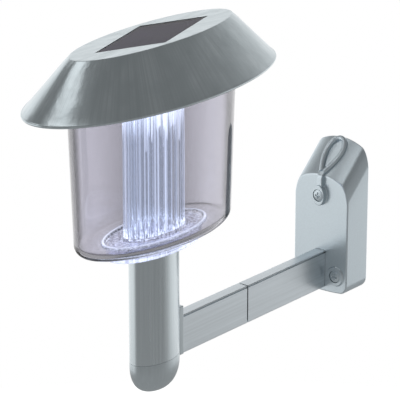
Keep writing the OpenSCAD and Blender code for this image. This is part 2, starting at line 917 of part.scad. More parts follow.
// Neck of the bead, from the top boss over the front edge onto the slope
module bead_neck() {
  neck_top = on_slope([0, neck_up, 0]);
  lift = slope_out * bead_r;
  front = -brk_d - neck_out;
  translate([-neck_w / 2, 0, 0])
    rotate([90, 0, 90])
      linear_extrude(neck_w)
        polygon([
          [-brk_d + brk_t / 2, boss_top_z], [front, boss_top_z], [front, front_top_z - bead_r],
          [-brk_d + lift[1], front_top_z + lift[2]], [neck_top[1] + lift[1], neck_top[2] + lift[2]],
          [neck_top[1] + brk_t / 2, neck_top[2] - brk_t / 2]]);
}

// Cover over the wall plate, open at the back, with screw bosses, the bead and a hole for the arm
module bracket_cover() {
  pillar_top = -brk_d + brk_t + loose_gap;
  color("#BFC9CE")
    difference() {
      union() {
        difference() {
          bracket_form(0, 0);
          bracket_form(brk_t, over);
        }
        at_front(0, boss_top_z)
          translate([0, 0, -boss_out]) oval_bar(half(boss_len, boss_w), boss_out + brk_t / 2);
        at_low_bosses()
          translate([0, 0, -low_boss_out]) cylinder(h = low_boss_out + brk_t / 2, r = low_boss_d / 2);
        bead_loop();
        bead_neck();
      }
      at_cover_screws() {
        translate([0, 0, -over]) cylinder(h = over + head_sink, r = cover_head_d / 2 + gap);
        cylinder(h = brk_d, r = cover_screw_d / 2 + loose_gap);
      }
      arm_box(arm_w + 2 * loose_gap, arm_h + 2 * loose_gap, -brk_d - over, 0);
    }
}

// Inner plate on the wall: tenon for the arm, three pillars for the cover, two holes for wall screws
module wall_plate() {
  pillar_len = brk_d - brk_t - gap;
  color("#6E767A")
    difference() {
      union() {
        intersection() {
          bracket_form(brk_t + loose_gap, 0);
          translate([-brk_w, -plate_t, -brk_h]) cube([2 * brk_w, plate_t, 2 * brk_h]);
        }
        for (p = [[0, boss_top_z], [-low_boss_x, low_boss_z], [low_boss_x, low_boss_z]])
          translate([p[0], 0, p[1]]) rotate([90, 0, 0]) cylinder(h = pillar_len, r = pillar_d / 2);
        arm_insert(-plate_t - plate_tenon_len, -plate_t / 2);
      }
      at_cover_screws() cylinder(h = cover_screw_len + over, r = cover_screw_d / 2 + gap);
      at_arm_bolts() cylinder(h = arm_w + 2 * over, r = arm_screw_d / 2 + gap, center = true);
      for (z = [0, -wall_hole_gap])
        translate([0, over, wall_hole_z + z])
          rotate([90, 0, 0]) cylinder(h = plate_t + 2 * over, r = wall_hole_d / 2);
    }
}

// Three pan-head screws that hold the cover
module cover_screws() {
  color("#B4BBC0")
    at_cover_screws()
      translate([0, 0, head_sink])
        screw(cover_screw_d, cover_head_d, cover_head_h, cover_screw_len - head_sink);
}

roof_shell();
panel_cover();
solar_panel();
panel_gasket();
panel_tray();
head_base();
head_seal();
head_screws();
circuit_board();
led();
led_reflector();
battery_holder();
battery();
battery_spring();
battery_contact();
battery_lead();
panel_leads();
switch_body();
switch_slider();
lens_shell();
light_tube();
post_tube();
post_socket();
post_end_cap();
arm_flange();
arm_screws();
arm_front();
arm_spigot();
arm_rear();
bracket_cover();
wall_plate();
cover_screws();
arm_bolts();
arm_nuts();
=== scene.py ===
"""Looks of a solar fence light: oval steel roof, smoky lens, fluted light tube, post, arm and bracket."""

import math
from types import SimpleNamespace

import bmesh
import bpy
import numpy as np
from bpy.props import FloatProperty, FloatVectorProperty, IntProperty, PointerProperty
from mathutils import Matrix, Vector


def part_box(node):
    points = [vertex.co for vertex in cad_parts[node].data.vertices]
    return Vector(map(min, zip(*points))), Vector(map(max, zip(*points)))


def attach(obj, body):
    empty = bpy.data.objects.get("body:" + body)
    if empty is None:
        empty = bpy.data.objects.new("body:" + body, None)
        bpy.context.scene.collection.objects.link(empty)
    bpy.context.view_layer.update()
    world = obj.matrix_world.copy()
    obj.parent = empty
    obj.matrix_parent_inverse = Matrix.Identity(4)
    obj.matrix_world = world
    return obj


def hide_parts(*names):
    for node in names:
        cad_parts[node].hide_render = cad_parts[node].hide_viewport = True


bl_info = {
    "name": "Fence light",
    "version": (1, 0, 0),
    "blender": (4, 5, 0),
    "location": "3D View > Sidebar > Fence light",
    "description": "Builds the looks of a solar fence light round its fixed frame",
    "category": "Object",
}

MM = 0.001
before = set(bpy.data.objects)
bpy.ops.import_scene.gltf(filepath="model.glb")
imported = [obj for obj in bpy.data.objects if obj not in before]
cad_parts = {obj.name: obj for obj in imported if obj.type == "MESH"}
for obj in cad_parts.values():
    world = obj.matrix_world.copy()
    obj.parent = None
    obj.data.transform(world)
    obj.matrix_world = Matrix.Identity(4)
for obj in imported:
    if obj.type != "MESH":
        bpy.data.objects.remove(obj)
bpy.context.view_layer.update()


# Values a user would change


def to_linear(code):
    """Linear red, green and blue of an sRGB hex colour."""
    shares = [int(code[i : i + 2], 16) / 255 for i in (0, 2, 4)]
    return tuple(s / 12.92 if s <= 0.04045 else ((s + 0.055) / 1.055) ** 2.4 for s in shares)


def length(name, description, mm):
    """A length property with its default in millimetres."""
    return FloatProperty(name=name, description=description, default=mm * MM, unit="LENGTH", precision=5)


def colour(name, description, code):
    """A colour property with its default as sRGB hex."""
    return FloatVectorProperty(
        name=name, description=description, default=to_linear(code), size=3, min=0, max=1, subtype="COLOR"
    )


def level(name, description, value):
    """A plain number property."""
    return FloatProperty(name=name, description=description, default=value, min=0)


def watts(name, description, value):
    """A lamp's power property."""
    return FloatProperty(name=name, description=description, default=value, min=0, unit="POWER")


def angle(name, description, degrees):
    """An angle property with its default in degrees."""
    return FloatProperty(name=name, description=description, default=math.radians(degrees), subtype="ANGLE")


class HeadSizes(bpy.types.PropertyGroup):
    """Roof, panel and what hangs under them."""

    rim_length: length("Rim length", "Length of the roof's rim, along the arm", 178)
    rim_width: length("Rim width", "Width of the roof's rim", 77)
    rim_z: length("Rim height", "Height of the rim above the bracket's middle", 113.4)
    height: length("Roof height", "Height of the roof above its rim", 27)
    top_length: length("Flat top length", "Length of the flat top", 121)
    top_width: length("Flat top width", "Width of the flat top", 36)
    sheet: length("Sheet", "Thickness of the roof's sheet", 1)
    crest: length("Crest radius", "Rounding where the slope meets the flat top", 0.9)
    lip: length("Lip", "Height of the rolled lip", 1.8)
    lip_in: length("Lip turn", "How far the rolled lip turns inwards", 3.5)
    panel_length: length("Panel length", "Long diagonal of the panel", 87)
    panel_width: length("Panel width", "Short diagonal of the panel, across the roof", 29.2)
    panel_skew: length("Panel skew", "Shift of the panel's side corners along the roof", 7)
    cover: length("Cover", "Thickness of the clear cover", 1.6)
    cover_sink: length("Cover sink", "How far the cover lies below the flat top", 0.2)
    cells: length("Cells", "Thickness of the cell laminate", 2)
    panel_rim: length("Panel rim", "How far the laminate reaches under the roof", 2.5)
    seal: length("Seal", "Height of the rubber ring under the head", 2.2)


class LensSizes(bpy.types.PropertyGroup):
    """Lens and light tube."""

    top_length: length("Top length", "Length of the lens at its top", 115)
    top_width: length("Top width", "Width of the lens at its top", 56.8)
    foot_length: length("Foot length", "Length of the lens at its floor", 109)
    foot_width: length("Foot width", "Width of the lens at its floor", 53.6)
    floor_z: length("Floor height", "Height of the lens's underside", 32.4)
    top_z: length("Top height", "Height of the lens's rim", 112.2)
    wall: length("Wall", "Wall of the lens", 2.2)
    edge: length("Edge radius", "Radius of the lens's lower edge", 5)
    collar_length: length("Collar length", "Length of the collar", 67)
    collar_width: length("Collar width", "Width of the collar", 32)
    collar_z: length("Collar height", "Height of the collar's lower edge", 25.8)
    collar_wall: length("Collar wall", "Wall of the collar", 1.8)
    bead_length: length("Bead length", "Length of the bead ring on the floor", 72)
    bead_width: length("Bead width", "Width of the bead ring on the floor", 31)
    bead: length("Bead radius", "Radius of the bead ring", 1.2)
    tube_length: length("Tube length", "Length of the light tube's section", 42.6)
    tube_width: length("Tube width", "Width of the light tube's section", 20.2)
    tube_wall: length("Tube wall", "Wall of the light tube", 1.4)
    flute: length("Flute depth", "Depth of a flute", 0.6)


class PostSizes(bpy.types.PropertyGroup):
    """Post, its end cap and the socket in its top."""

    reach: length("Reach", "Distance from the wall to the post's axis", 163)
    length: length("Section length", "Length of the post's section, along the arm", 33.6)
    width: length("Section width", "Width of the post's section", 20)
    wall: length("Wall", "Wall of the post", 1.2)
    foot_z: length("Foot height", "Height of the seam between post and end cap", -37.2)
    cap_side: length("Cap side", "Straight side of the end cap", 3)
    cap: length("Cap dome", "Height of the end cap's dome", 15.4)


class ArmSizes(bpy.types.PropertyGroup):
    """Two-part arm."""

    middle_z: length("Middle height", "Height of the arm's middle", -30)
    width: length("Width", "Width of the arm", 7)
    height: length("Height", "Height of the arm", 22)
    wall: length("Wall", "Wall of the arm", 1.2)
    corner: length("Corner radius", "Rounding of the arm's long edges", 0.5)
    groove: length("Groove", "Depth of the groove under the top edge", 0.7)
    groove_top: length("Groove top", "Distance of the groove from the top edge", 0.5)
    groove_low: length("Groove foot", "Distance of the groove's lower edge from the top edge", 1.25)
    joint: length("Joint", "Distance from the wall to the joint between the halves", 89)
    joint_gap: length("Joint gap", "Open line between the halves", 0.8)
    front_end: length("Front end", "Distance from the wall to the front arm's end", 144.1)
    rear_end: length("Rear end", "Distance from the wall to the rear arm's end", 3.05)


class BracketSizes(bpy.types.PropertyGroup):
    """Bracket cover with its bosses and its raised bead."""

    width: length("Width", "Width of the bracket", 37.4)
    height: length("Height", "Height of the bracket", 87.5)
    depth: length("Depth", "Depth of the bracket", 19.3)
    rise: length("Rise", "How far the sloping top rises from the front to the wall", 18)
    wall: length("Wall", "Wall of the cover", 2)
    edge: length("Edge", "Rounding of the cover's edges", 0.8)
    foot: length("Foot radius", "Rounding of the lower corners", 7)
    boss_z: length("Boss height", "Height of the upper screw boss", 14.2)
    boss_length: length("Boss length", "Height of the upper boss's outline", 12)
    boss_width: length("Boss width", "Width of the upper boss's outline", 8)
    boss_out: length("Boss relief", "How far the upper boss stands out", 3.2)
    low_x: length("Lower boss place", "Distance of the lower bosses from the middle", 11)
    low_z: length("Lower boss height", "Height of the lower bosses' middles", -32.8)
    low_width: length("Lower boss width", "Diameter of the lower bosses", 11)
    low_out: length("Lower boss relief", "How far the lower bosses stand out", 1.2)
    arch_half: length("Arch half width", "Half width of the arched front edge of the sloping top", 16)
    arch_drop: length("Arch drop", "How far the arched edge falls over that half width", 4.4)
    arch_end: length("Arch end", "How far from that half width the rounded shoulder begins", 1.6)
    shoulder: length("Shoulder", "Height of the rounded shoulder under the arch's top", 14)
    shoulder_in: length("Shoulder corner in", "Distance of the shoulder's corner from the side", 1.1)
    shoulder_down: length("Shoulder corner down", "Depth of the shoulder's corner under the arch's top", 6.2)
    foot_drop: length("Foot drop", "How far the lower edge falls towards its middle", 1.6)
    bead: length("Bead radius", "Radius of the raised bead", 1.45)
    leaf_half: length("Leaf half width", "Measure of how wide the bead's leaf is", 6.6)
    leaf_length: length("Leaf length", "Length of the bead's leaf along the slope", 24.4)
    leaf_start: length("Leaf start", "Distance of the leaf's point from the front edge", 0.3)
    leaf_lift: length("Leaf lift", "Height of the bead's middle over the slope", 0.6)


class ScrewSizes(bpy.types.PropertyGroup):
    """Pan-head screws, as groups of one size."""

    cover_head: length("Cover head", "Diameter of the cover screws' heads", 7)
    cover_shank: length("Cover shank", "Diameter of the cover screws' shanks", 3.5)
    head_head: length("Head screw head", "Diameter of the head screws' heads", 4.8)
    head_shank: length("Head screw shank", "Diameter of the head screws' shanks", 2.4)
    head_x: length("Head screw place across", "Half distance of the head screws across the arm", 13.5)
    head_y: length("Head screw place along", "Half distance of the head screws along the arm", 28)
    sink: length("Sink", "How deep the cover screws' heads sit in their seats", 1.2)
    pan: length("Pan", "Height of the cover and head screws' heads", 1.6)
    cover_long: length("Cover screw length", "Length of the cover screws' shanks", 14.8)
    head_long: length("Head screw length", "Length of the head screws' shanks", 12)
    post_shank: length("Post screw shank", "Diameter of the post screws' shanks", 2.5)
    post_head: length("Post screw head", "Diameter of the post screws' heads", 4.4)
    post_pan: length("Post screw pan", "Height of the post screws' heads", 1.5)
    post_long: length("Post screw length", "Length of the post screws' shanks", 9)
    cross_shank: length("Cross screw shank", "Diameter of the cross screws' shanks", 3)
    cross_head: length("Cross screw head", "Diameter of the cross screws' heads", 5)
    cross_pan: length("Cross screw pan", "Height of the cross screws' heads", 1.8)
    post_z: length("Post screw place", "Distance of the post's screws from the arm's middle", 2.8)
    cross_z: length("Cross screw place", "Distance of the cross screws from the arm's middle", 5.5)


class FinishColours(bpy.types.PropertyGroup):
    """Colours of the finishes."""

    steel: colour("Steel", "Brushed steel where it is bright", "CFD8DC")
    steel_shade: colour("Steel shade", "Brushed steel between the bright streaks", "BBC5C9")
    silver: colour("Silver", "Silver lacquer of the bracket", "CBD6DC")
    arm: colour("Arm", "Anodised arm", "DDE5EA")
    cap: colour("Cap", "Grey plastic of cap and flange", "BFC8CC")
    lens: colour("Lens", "Smoky lens plastic", "C9C8CF")
    tube: colour("Tube", "Clear light tube", "E6EDF5")
    light: colour("Light", "Cold white light of the diode", "E2EBFF")
    cells: colour("Cells", "Solar cells", "3A344C")


class Studio(bpy.types.PropertyGroup):
    """Lamps, floor and camera."""

    fill: level("Fill", "Level of the light from all around", 0.75)
    shade: level("Shade", "How bright the studio's dark side mirrors in metal", 0.26)
    bright: level("Bright", "How bright the studio's white side mirrors in metal", 1.22)
    key: watts("Key lamp", "Power of the key lamp", 0.16)
    slope: watts("Slope lamp", "Power of the bracket's lamp", 0.09)
    glow: level("Glow", "Strength of the diode's light", 5)
    floor_z: length("Floor height", "Height of the floor under the bracket's middle", -600)
    azimuth: angle("Azimuth", "Camera's turn round the light", 40)
    elevation: angle("Elevation", "Camera's height angle", 20)
    distance: length("Distance", "Camera's distance from what it looks at", 1389.9)
    aim_y: length("Aim along the arm", "Where the camera looks, along the arm", -125.587)
    aim_z: length("Aim height", "Where the camera looks, in height", 40.35)
    focal: level("Focal length", "Focal length in millimetres on a sensor 36 mm wide", 235.8)
    sides: IntProperty(name="Sides", description="Sides of each oval ring", default=256, min=48)


class FenceLight(bpy.types.PropertyGroup):
    """All the values of the fence light."""

    head: PointerProperty(type=HeadSizes)
    lens: PointerProperty(type=LensSizes)
    post: PointerProperty(type=PostSizes)
    arm: PointerProperty(type=ArmSizes)
    bracket: PointerProperty(type=BracketSizes)
    screws: PointerProperty(type=ScrewSizes)
    colours: PointerProperty(type=FinishColours)
    studio: PointerProperty(type=Studio)


def values():
    """The scene's fence light values."""
    return bpy.context.scene.fence_light


def mm(group_name):
    """The lengths of one group of the scene's values, in millimetres and by name."""
    group = getattr(values(), group_name)
    lengths = [p.identifier for p in group.bl_rna.properties if p.type == "FLOAT" and p.unit == "LENGTH"]
    return SimpleNamespace(**{name: round(getattr(group, name) / MM, 4) for name in lengths})


# Meshes


def oval(half_length, half_width, z, sides=None):
    """A level ring of points round the post's axis, in millimetres."""
    sides = sides or values().studio.sides
    angles = np.arange(sides) * 2 * math.pi / sides
    reach = mm("post").reach
    x, y = half_width * np.cos(angles), -reach + half_length * np.sin(angles)
    return np.stack([x, y, np.full(sides, z)], 1)


def around(z, pair, out=0.0):
    """The oval with half length and half width pair, moved out."""
    return oval(pair[0] + out, pair[1] + out, z)


def half(sizes, name):
    """Half length and half width of one oval among a group's sizes."""
    return getattr(sizes, name + "_length") / 2, getattr(sizes, name + "_width") / 2


def skins(rows):
    """Ovals from rows of height, half length and half width, and how far it is moved out."""
    return [around(*row) for row in rows]


def mixed(first, last, share):
    """Half length and half width between two pairs of them."""
    return [a + (b - a) * share for a, b in zip(first, last)]


def upright(x, y, z, half_x, half_z, sides):
    """An upright oval ring of points round (x, z), in millimetres."""
    return [(x + half_x * math.cos(a), y, z + half_z * math.sin(a)) for a in arc(0, 360, sides)[:-1]]


def placed(name, data):
    """A new object of some data, in the scene at the origin."""
    made = bpy.data.objects.new(name, data)
    bpy.context.scene.collection.objects.link(made)
    return made


def marked(piece, shares):
    """Writes each point's share of glow on the piece."""
    lit = piece.data.attributes.new("lit", "FLOAT", "POINT")
    lit.data.foreach_set("value", shares)
    return piece


def new_piece(name, verts, faces, uvs=None, sharp=35):
    """A closed mesh object from points in millimetres, its faces turned outward and shaded by angle."""
    mesh = bpy.data.meshes.new(name)
    mesh.from_pydata((np.asarray(verts, float) * MM).tolist(), [], faces)
    if uvs is not None:
        layer = mesh.uv_layers.new(name="surface")
        layer.data.foreach_set("uv", np.asarray(uvs, np.float32).ravel())
    bm = bmesh.new()
    bm.from_mesh(mesh)
    if bm.calc_volume(signed=True) < 0:
        bmesh.ops.reverse_faces(bm, faces=bm.faces)
    bm.to_mesh(mesh)
    bm.free()
    return applied(placed(name, mesh), sharp)


def loft(name, rings, loop=False, sharp=35, lit=None):
    """A closed skin through rings of equal length, which a loop joins from the last ring to the first.

    Without a loop both ends close. Its UV map is in metres: U round the widest ring and V along the
    rings' path. lit gives each ring's share of glow.
    """
    rings = np.asarray(rings, float)
    count, sides = rings.shape[:2]
    steps = count if loop else count - 1
    around_m = max(np.linalg.norm(r - np.roll(r, -1, 0), axis=1).sum() for r in rings) * MM
    along = [0.0]
    for i in range(steps):
        along.append(along[-1] + np.linalg.norm(rings[(i + 1) % count] - rings[i], axis=1).mean() * MM)
    faces, uvs = [], []
    for i in range(steps):
        a, b = i * sides, ((i + 1) % count) * sides
        for j in range(sides):
            k = (j + 1) % sides
            u, w = j / sides * around_m, (j + 1) / sides * around_m
            faces.append((a + j, a + k, b + k, b + j))
            uvs += [(u, along[i]), (w, along[i]), (w, along[i + 1]), (u, along[i + 1])]
    if not loop:
        for cap in (list(range(sides))[::-1], list(range((count - 1) * sides, count * sides))):
            faces.append(cap)
            uvs += [(rings.reshape(-1, 3)[v][0] * MM, rings.reshape(-1, 3)[v][1] * MM) for v in cap]
    piece = new_piece(name, rings.reshape(-1, 3), faces, uvs, sharp)
    return piece if lit is None else marked(piece, np.repeat(np.asarray(lit, np.float32), sides))


def arc(first, last, steps):
    """Angles in radians from first to last degrees."""
    return [math.radians(first + (last - first) * i / steps) for i in range(steps + 1)]


def baked(piece):
    """Turns the piece's modifiers into plain mesh and takes them off."""
    bpy.context.view_layer.update()
    done = piece.evaluated_get(bpy.context.evaluated_depsgraph_get())
    mesh = bpy.data.meshes.new_from_object(done)
    piece.modifiers.clear()
    piece.data = mesh
    return mesh


def applied(piece, sharp=35):
    """Bakes the modifiers and shades the piece by angle, so that its large faces keep their own direction."""
    mesh = baked(piece)
    if "custom_normal" in mesh.attributes:
        mesh.attributes.remove(mesh.attributes["custom_normal"])
    mesh.polygons.foreach_set("use_smooth", [True] * len(mesh.polygons))
    mesh.set_sharp_from_angle(angle=math.radians(sharp))
    even = piece.modifiers.new("even", "WEIGHTED_NORMAL")
    even.weight, even.keep_sharp = 100, True
    baked(piece)
    return piece


def softened(piece, width, segments=3, limit=30, sharp=50):
    """Rounds the piece's sharp edges by width millimetres."""
    bevel = piece.modifiers.new("edges", "BEVEL")
    bevel.width, bevel.segments = width * MM, segments
    bevel.limit_method, bevel.angle_limit, bevel.use_clamp_overlap = "ANGLE", math.radians(limit), False
    return applied(piece, sharp)


def cut(piece, *tools):
    """Cuts the tools out of the piece and removes them."""
    for tool in tools:
        change = piece.modifiers.new("cut", "BOOLEAN")
        change.operation, change.solver, change.object = "DIFFERENCE", "EXACT", tool
    applied(piece)
    for tool in tools:
        bpy.data.objects.remove(tool)
    return piece


def prism(name, outline, to_point, depth):
    """A straight bar from an outline of pairs; to_point(a, b, d) gives its points at both ends of depth."""
    return loft(name, [[to_point(a, b, d) for a, b in outline] for d in depth])


def joined(name, pieces):
    """One object from several, in the order given."""
    bm = bmesh.new()
    for piece in pieces:
        bm.from_mesh(piece.data)
        bpy.data.objects.remove(piece)
    mesh = bpy.data.meshes.new(name)
    bm.to_mesh(mesh)
    bm.free()
    return placed(name, mesh)


def dressed(piece, finish, nodes, body):
    """Gives the piece its finish, by short name, and sets it in the place of the frame's nodes."""
    piece.data.materials.clear()
    piece.data.materials.append(FINISH[finish])
    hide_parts(*nodes)
    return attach(piece, body)


def refined(node, name, finish, body, edge=0.0, sharp=30):
    """A merged copy of a frame node with rounded edges and smooth curves, which stands for the node."""
    piece = placed(name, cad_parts[node].data.copy())
    bm = bmesh.new()
    bm.from_mesh(piece.data)
    bmesh.ops.remove_doubles(bm, verts=bm.verts, dist=0.002 * MM)
    bmesh.ops.dissolve_limit(bm, angle_limit=math.radians(0.5), verts=bm.verts, edges=bm.edges)
    bm.to_mesh(piece.data)
    bm.free()
    if edge:
        softened(piece, edge, 2, 40)
    else:
        applied(piece, sharp)
    return dressed(piece, finish, [node], body)


# Finishes

SMOOTH = {"interpolation_type": "SMOOTHSTEP"}


def add(tree, kind, inputs=(), **settings):
    """Adds one node, with its settings, and sets or links its inputs, by name or in their order.

    A node given as a value stands for its first output in use.
    """
    made = tree.nodes.new(kind if kind.startswith(("Geometry", "NodeGroup")) else "ShaderNode" + kind)
    for key, value in settings.items():
        setattr(made, key, value)
    sockets, given = made.inputs, inputs
    if not isinstance(inputs, dict):
        sockets, given = [socket for socket in sockets if socket.enabled], dict(enumerate(inputs))
    for key, value in given.items():
        if isinstance(value, bpy.types.Node):
            value = next(socket for socket in value.outputs if socket.enabled)
        if isinstance(value, bpy.types.NodeSocket):
            tree.links.new(value, sockets[key])
        else:
            sockets[key].default_value = value
    return made


def rgba(tone):
    """A colour with full alpha, from linear values or sRGB hex."""
    return (*(to_linear(tone) if isinstance(tone, str) else tone)[:3], 1.0)


def grained(tree, place, grain, detail=1.0):
    """Noise whose single grain has a size in millimetres along each axis."""
    scaled = add(tree, "Mapping", {"Vector": place, "Scale": [1 / (size * MM) for size in grain]})
    return add(tree, "TexNoise", (scaled, 1.0, detail))


def from_axis(tree, place):
    """Distance from the post's axis along the arm, in metres."""
    along = add(tree, "SeparateXYZ", (place,)).outputs["Y"]
    shifted = add(tree, "Math", (along, values().post.reach), operation="ADD")
    return add(tree, "Math", (shifted,), operation="ABSOLUTE")


def rays(tree, *kinds):
    """The node that tells rays apart, and a share that is 1 for each ray of one of two kinds."""
    ray = add(tree, "LightPath")
    return ray, add(tree, "Math", [ray.outputs[f"Is {kind} Ray"] for kind in kinds], operation="MAXIMUM")


def shaded(linear, share):
    """A darker or lighter tone of a colour."""
    return tuple(min(1.0, c * share) for c in linear[:3])


def start(name):
    """A new empty material and its tree."""
    made = bpy.data.materials.new(name)
    made.use_nodes = True
    made.node_tree.nodes.clear()
    return made, made.node_tree


def surface(name, bright, dark, grain, metallic, roughness, spread, relief=0.0, space="Object", blotch=None):
    """A material whose grain mixes two tones, changes the roughness and lifts the surface.

    grain is the size of one grain along each axis in millimetres, so a long one is a brush stroke.
    blotch is (size in millimetres, share, depth) of slow changes of tone, which may dent the surface.
    """
    made, tree = start(name)
    place = add(tree, "TexCoord").outputs[space]
    noise = grained(tree, place, grain, 4.0)
    tone = add(tree, "MapRange", (noise, 0.3, 0.7))
    mix = add(tree, "Mix", (tone, rgba(dark), rgba(bright)), data_type="RGBA")
    if blotch:
        size, share, depth = blotch
        clouds = grained(tree, place, [size] * 3, 4.0)
        dull = add(tree, "MapRange", (clouds, 0.35, 0.65, 0.0, share))
        mix = add(tree, "Mix", (dull, mix, rgba(dark)), data_type="RGBA")
    rough = add(tree, "MapRange", (noise, 0.0, 1.0, roughness - spread, roughness + spread))
    inputs = {"Base Color": mix, "Roughness": rough, "Metallic": metallic}
    if relief:
        bump = add(tree, "Bump", {"Height": noise, "Strength": 0.3, "Distance": relief * MM})
        if blotch and depth:
            dents = {"Height": clouds, "Strength": 1.0, "Distance": depth * MM, "Normal": bump}
            bump = add(tree, "Bump", dents)
        inputs["Normal"] = bump
    add(tree, "OutputMaterial", (add(tree, "BsdfPrincipled", inputs),))
    return made


def clear_plastic(name, tint, roughness, glow=None, strength=0.0, ior=1.49, ends=None, mirror=1.0):
    """Clear moulded plastic that lets the lamps' light through, with painted glow where its piece is marked
    as lit.

    Above its rounded foot, painted shade darkens the wall where it is seen edge on. Further than ends
    millimetres from the post's axis, the shade starts where the wall only begins to turn away. A band of
    painted highlight lies beside it, and the same paler tone covers those ends.
    """
    made, tree = start(name)
    place = add(tree, "TexCoord").outputs["Object"]
    clouds = grained(tree, place, (14, 14, 60))
    tone = add(tree, "Mix", (clouds, rgba(tint), rgba(shaded(tint, 0.94))), data_type="RGBA")
    if ends:
        facing = add(tree, "LayerWeight", (0.5,)).outputs["Facing"]
        # painted shade on the rim where the wall turns away, reaching further in on the curved ends, and a
        # band of painted highlight beside it
        # thick: the curved ends far from the post's axis, where the shade and the highlight are painted
        thick = add(tree, "MapRange", (from_axis(tree, place), ends * MM, (ends + 8) * MM))
        rim = add(tree, "MapRange", (facing, 0.6, 0.75), **SMOOTH)
        turn = add(tree, "MapRange", (facing, 0.22, 0.6), **SMOOTH)
        end = add(tree, "Math", (turn, thick), operation="MULTIPLY")
        height = add(tree, "SeparateXYZ", (place,)).outputs["Z"]
        wall = add(tree, "MapRange", (height, 29 * MM, 38 * MM), **SMOOTH)
        dark = add(tree, "Math", (rim, end), operation="MAXIMUM")
        dark = add(tree, "Math", (dark, wall), operation="MULTIPLY")
        band = add(tree, "MapRange", (facing, 0.4, 0.5, 0.0, 0.8), **SMOOTH)
        pale = add(tree, "Math", (band, thick), operation="MAXIMUM")
        # painted highlight, then painted shade, laid into the lens's tone
        tone = add(tree, "Mix", (pale, tone, rgba(shaded(tint, 1.3))), data_type="RGBA")
        tone = add(tree, "Mix", (dark, tone, rgba(shaded(tint, 0.16))), data_type="RGBA")
    inputs = {
        "Base Color": tone, "Roughness": roughness, "Transmission Weight": 1.0, "IOR": ior,
        "Specular Tint": rgba((mirror, mirror, mirror)),
    }
    if glow:
        lit = add(tree, "Attribute", attribute_name="lit")
        # specks of light on the lit edges, even where the edge is fully lit
        uneven = grained(tree, place, (1.6, 1.6, 9), 2.0)
        vary = add(tree, "MapRange", (uneven, 0.46, 0.6, 0.1))
        sparkle = add(tree, "Math", (lit.outputs["Fac"], vary), operation="MULTIPLY")
        even = add(tree, "MapRange", (lit.outputs["Fac"], 0.6))
        share = add(tree, "Math", (sparkle, even), operation="MAXIMUM")
        inputs["Emission Color"] = add(tree, "Mix", (share, rgba((0, 0, 0)), rgba(glow)), data_type="RGBA")
        inputs["Emission Strength"] = strength
    glass = add(tree, "BsdfPrincipled", inputs)
    open_way = add(tree, "BsdfTransparent", (rgba(shaded(tint, 0.85)),))
    lamp = rays(tree, "Shadow", "Diffuse")[1]
    both = add(tree, "MixShader", (lamp, glass, open_way))
    add(tree, "OutputMaterial", (both,))
    return made


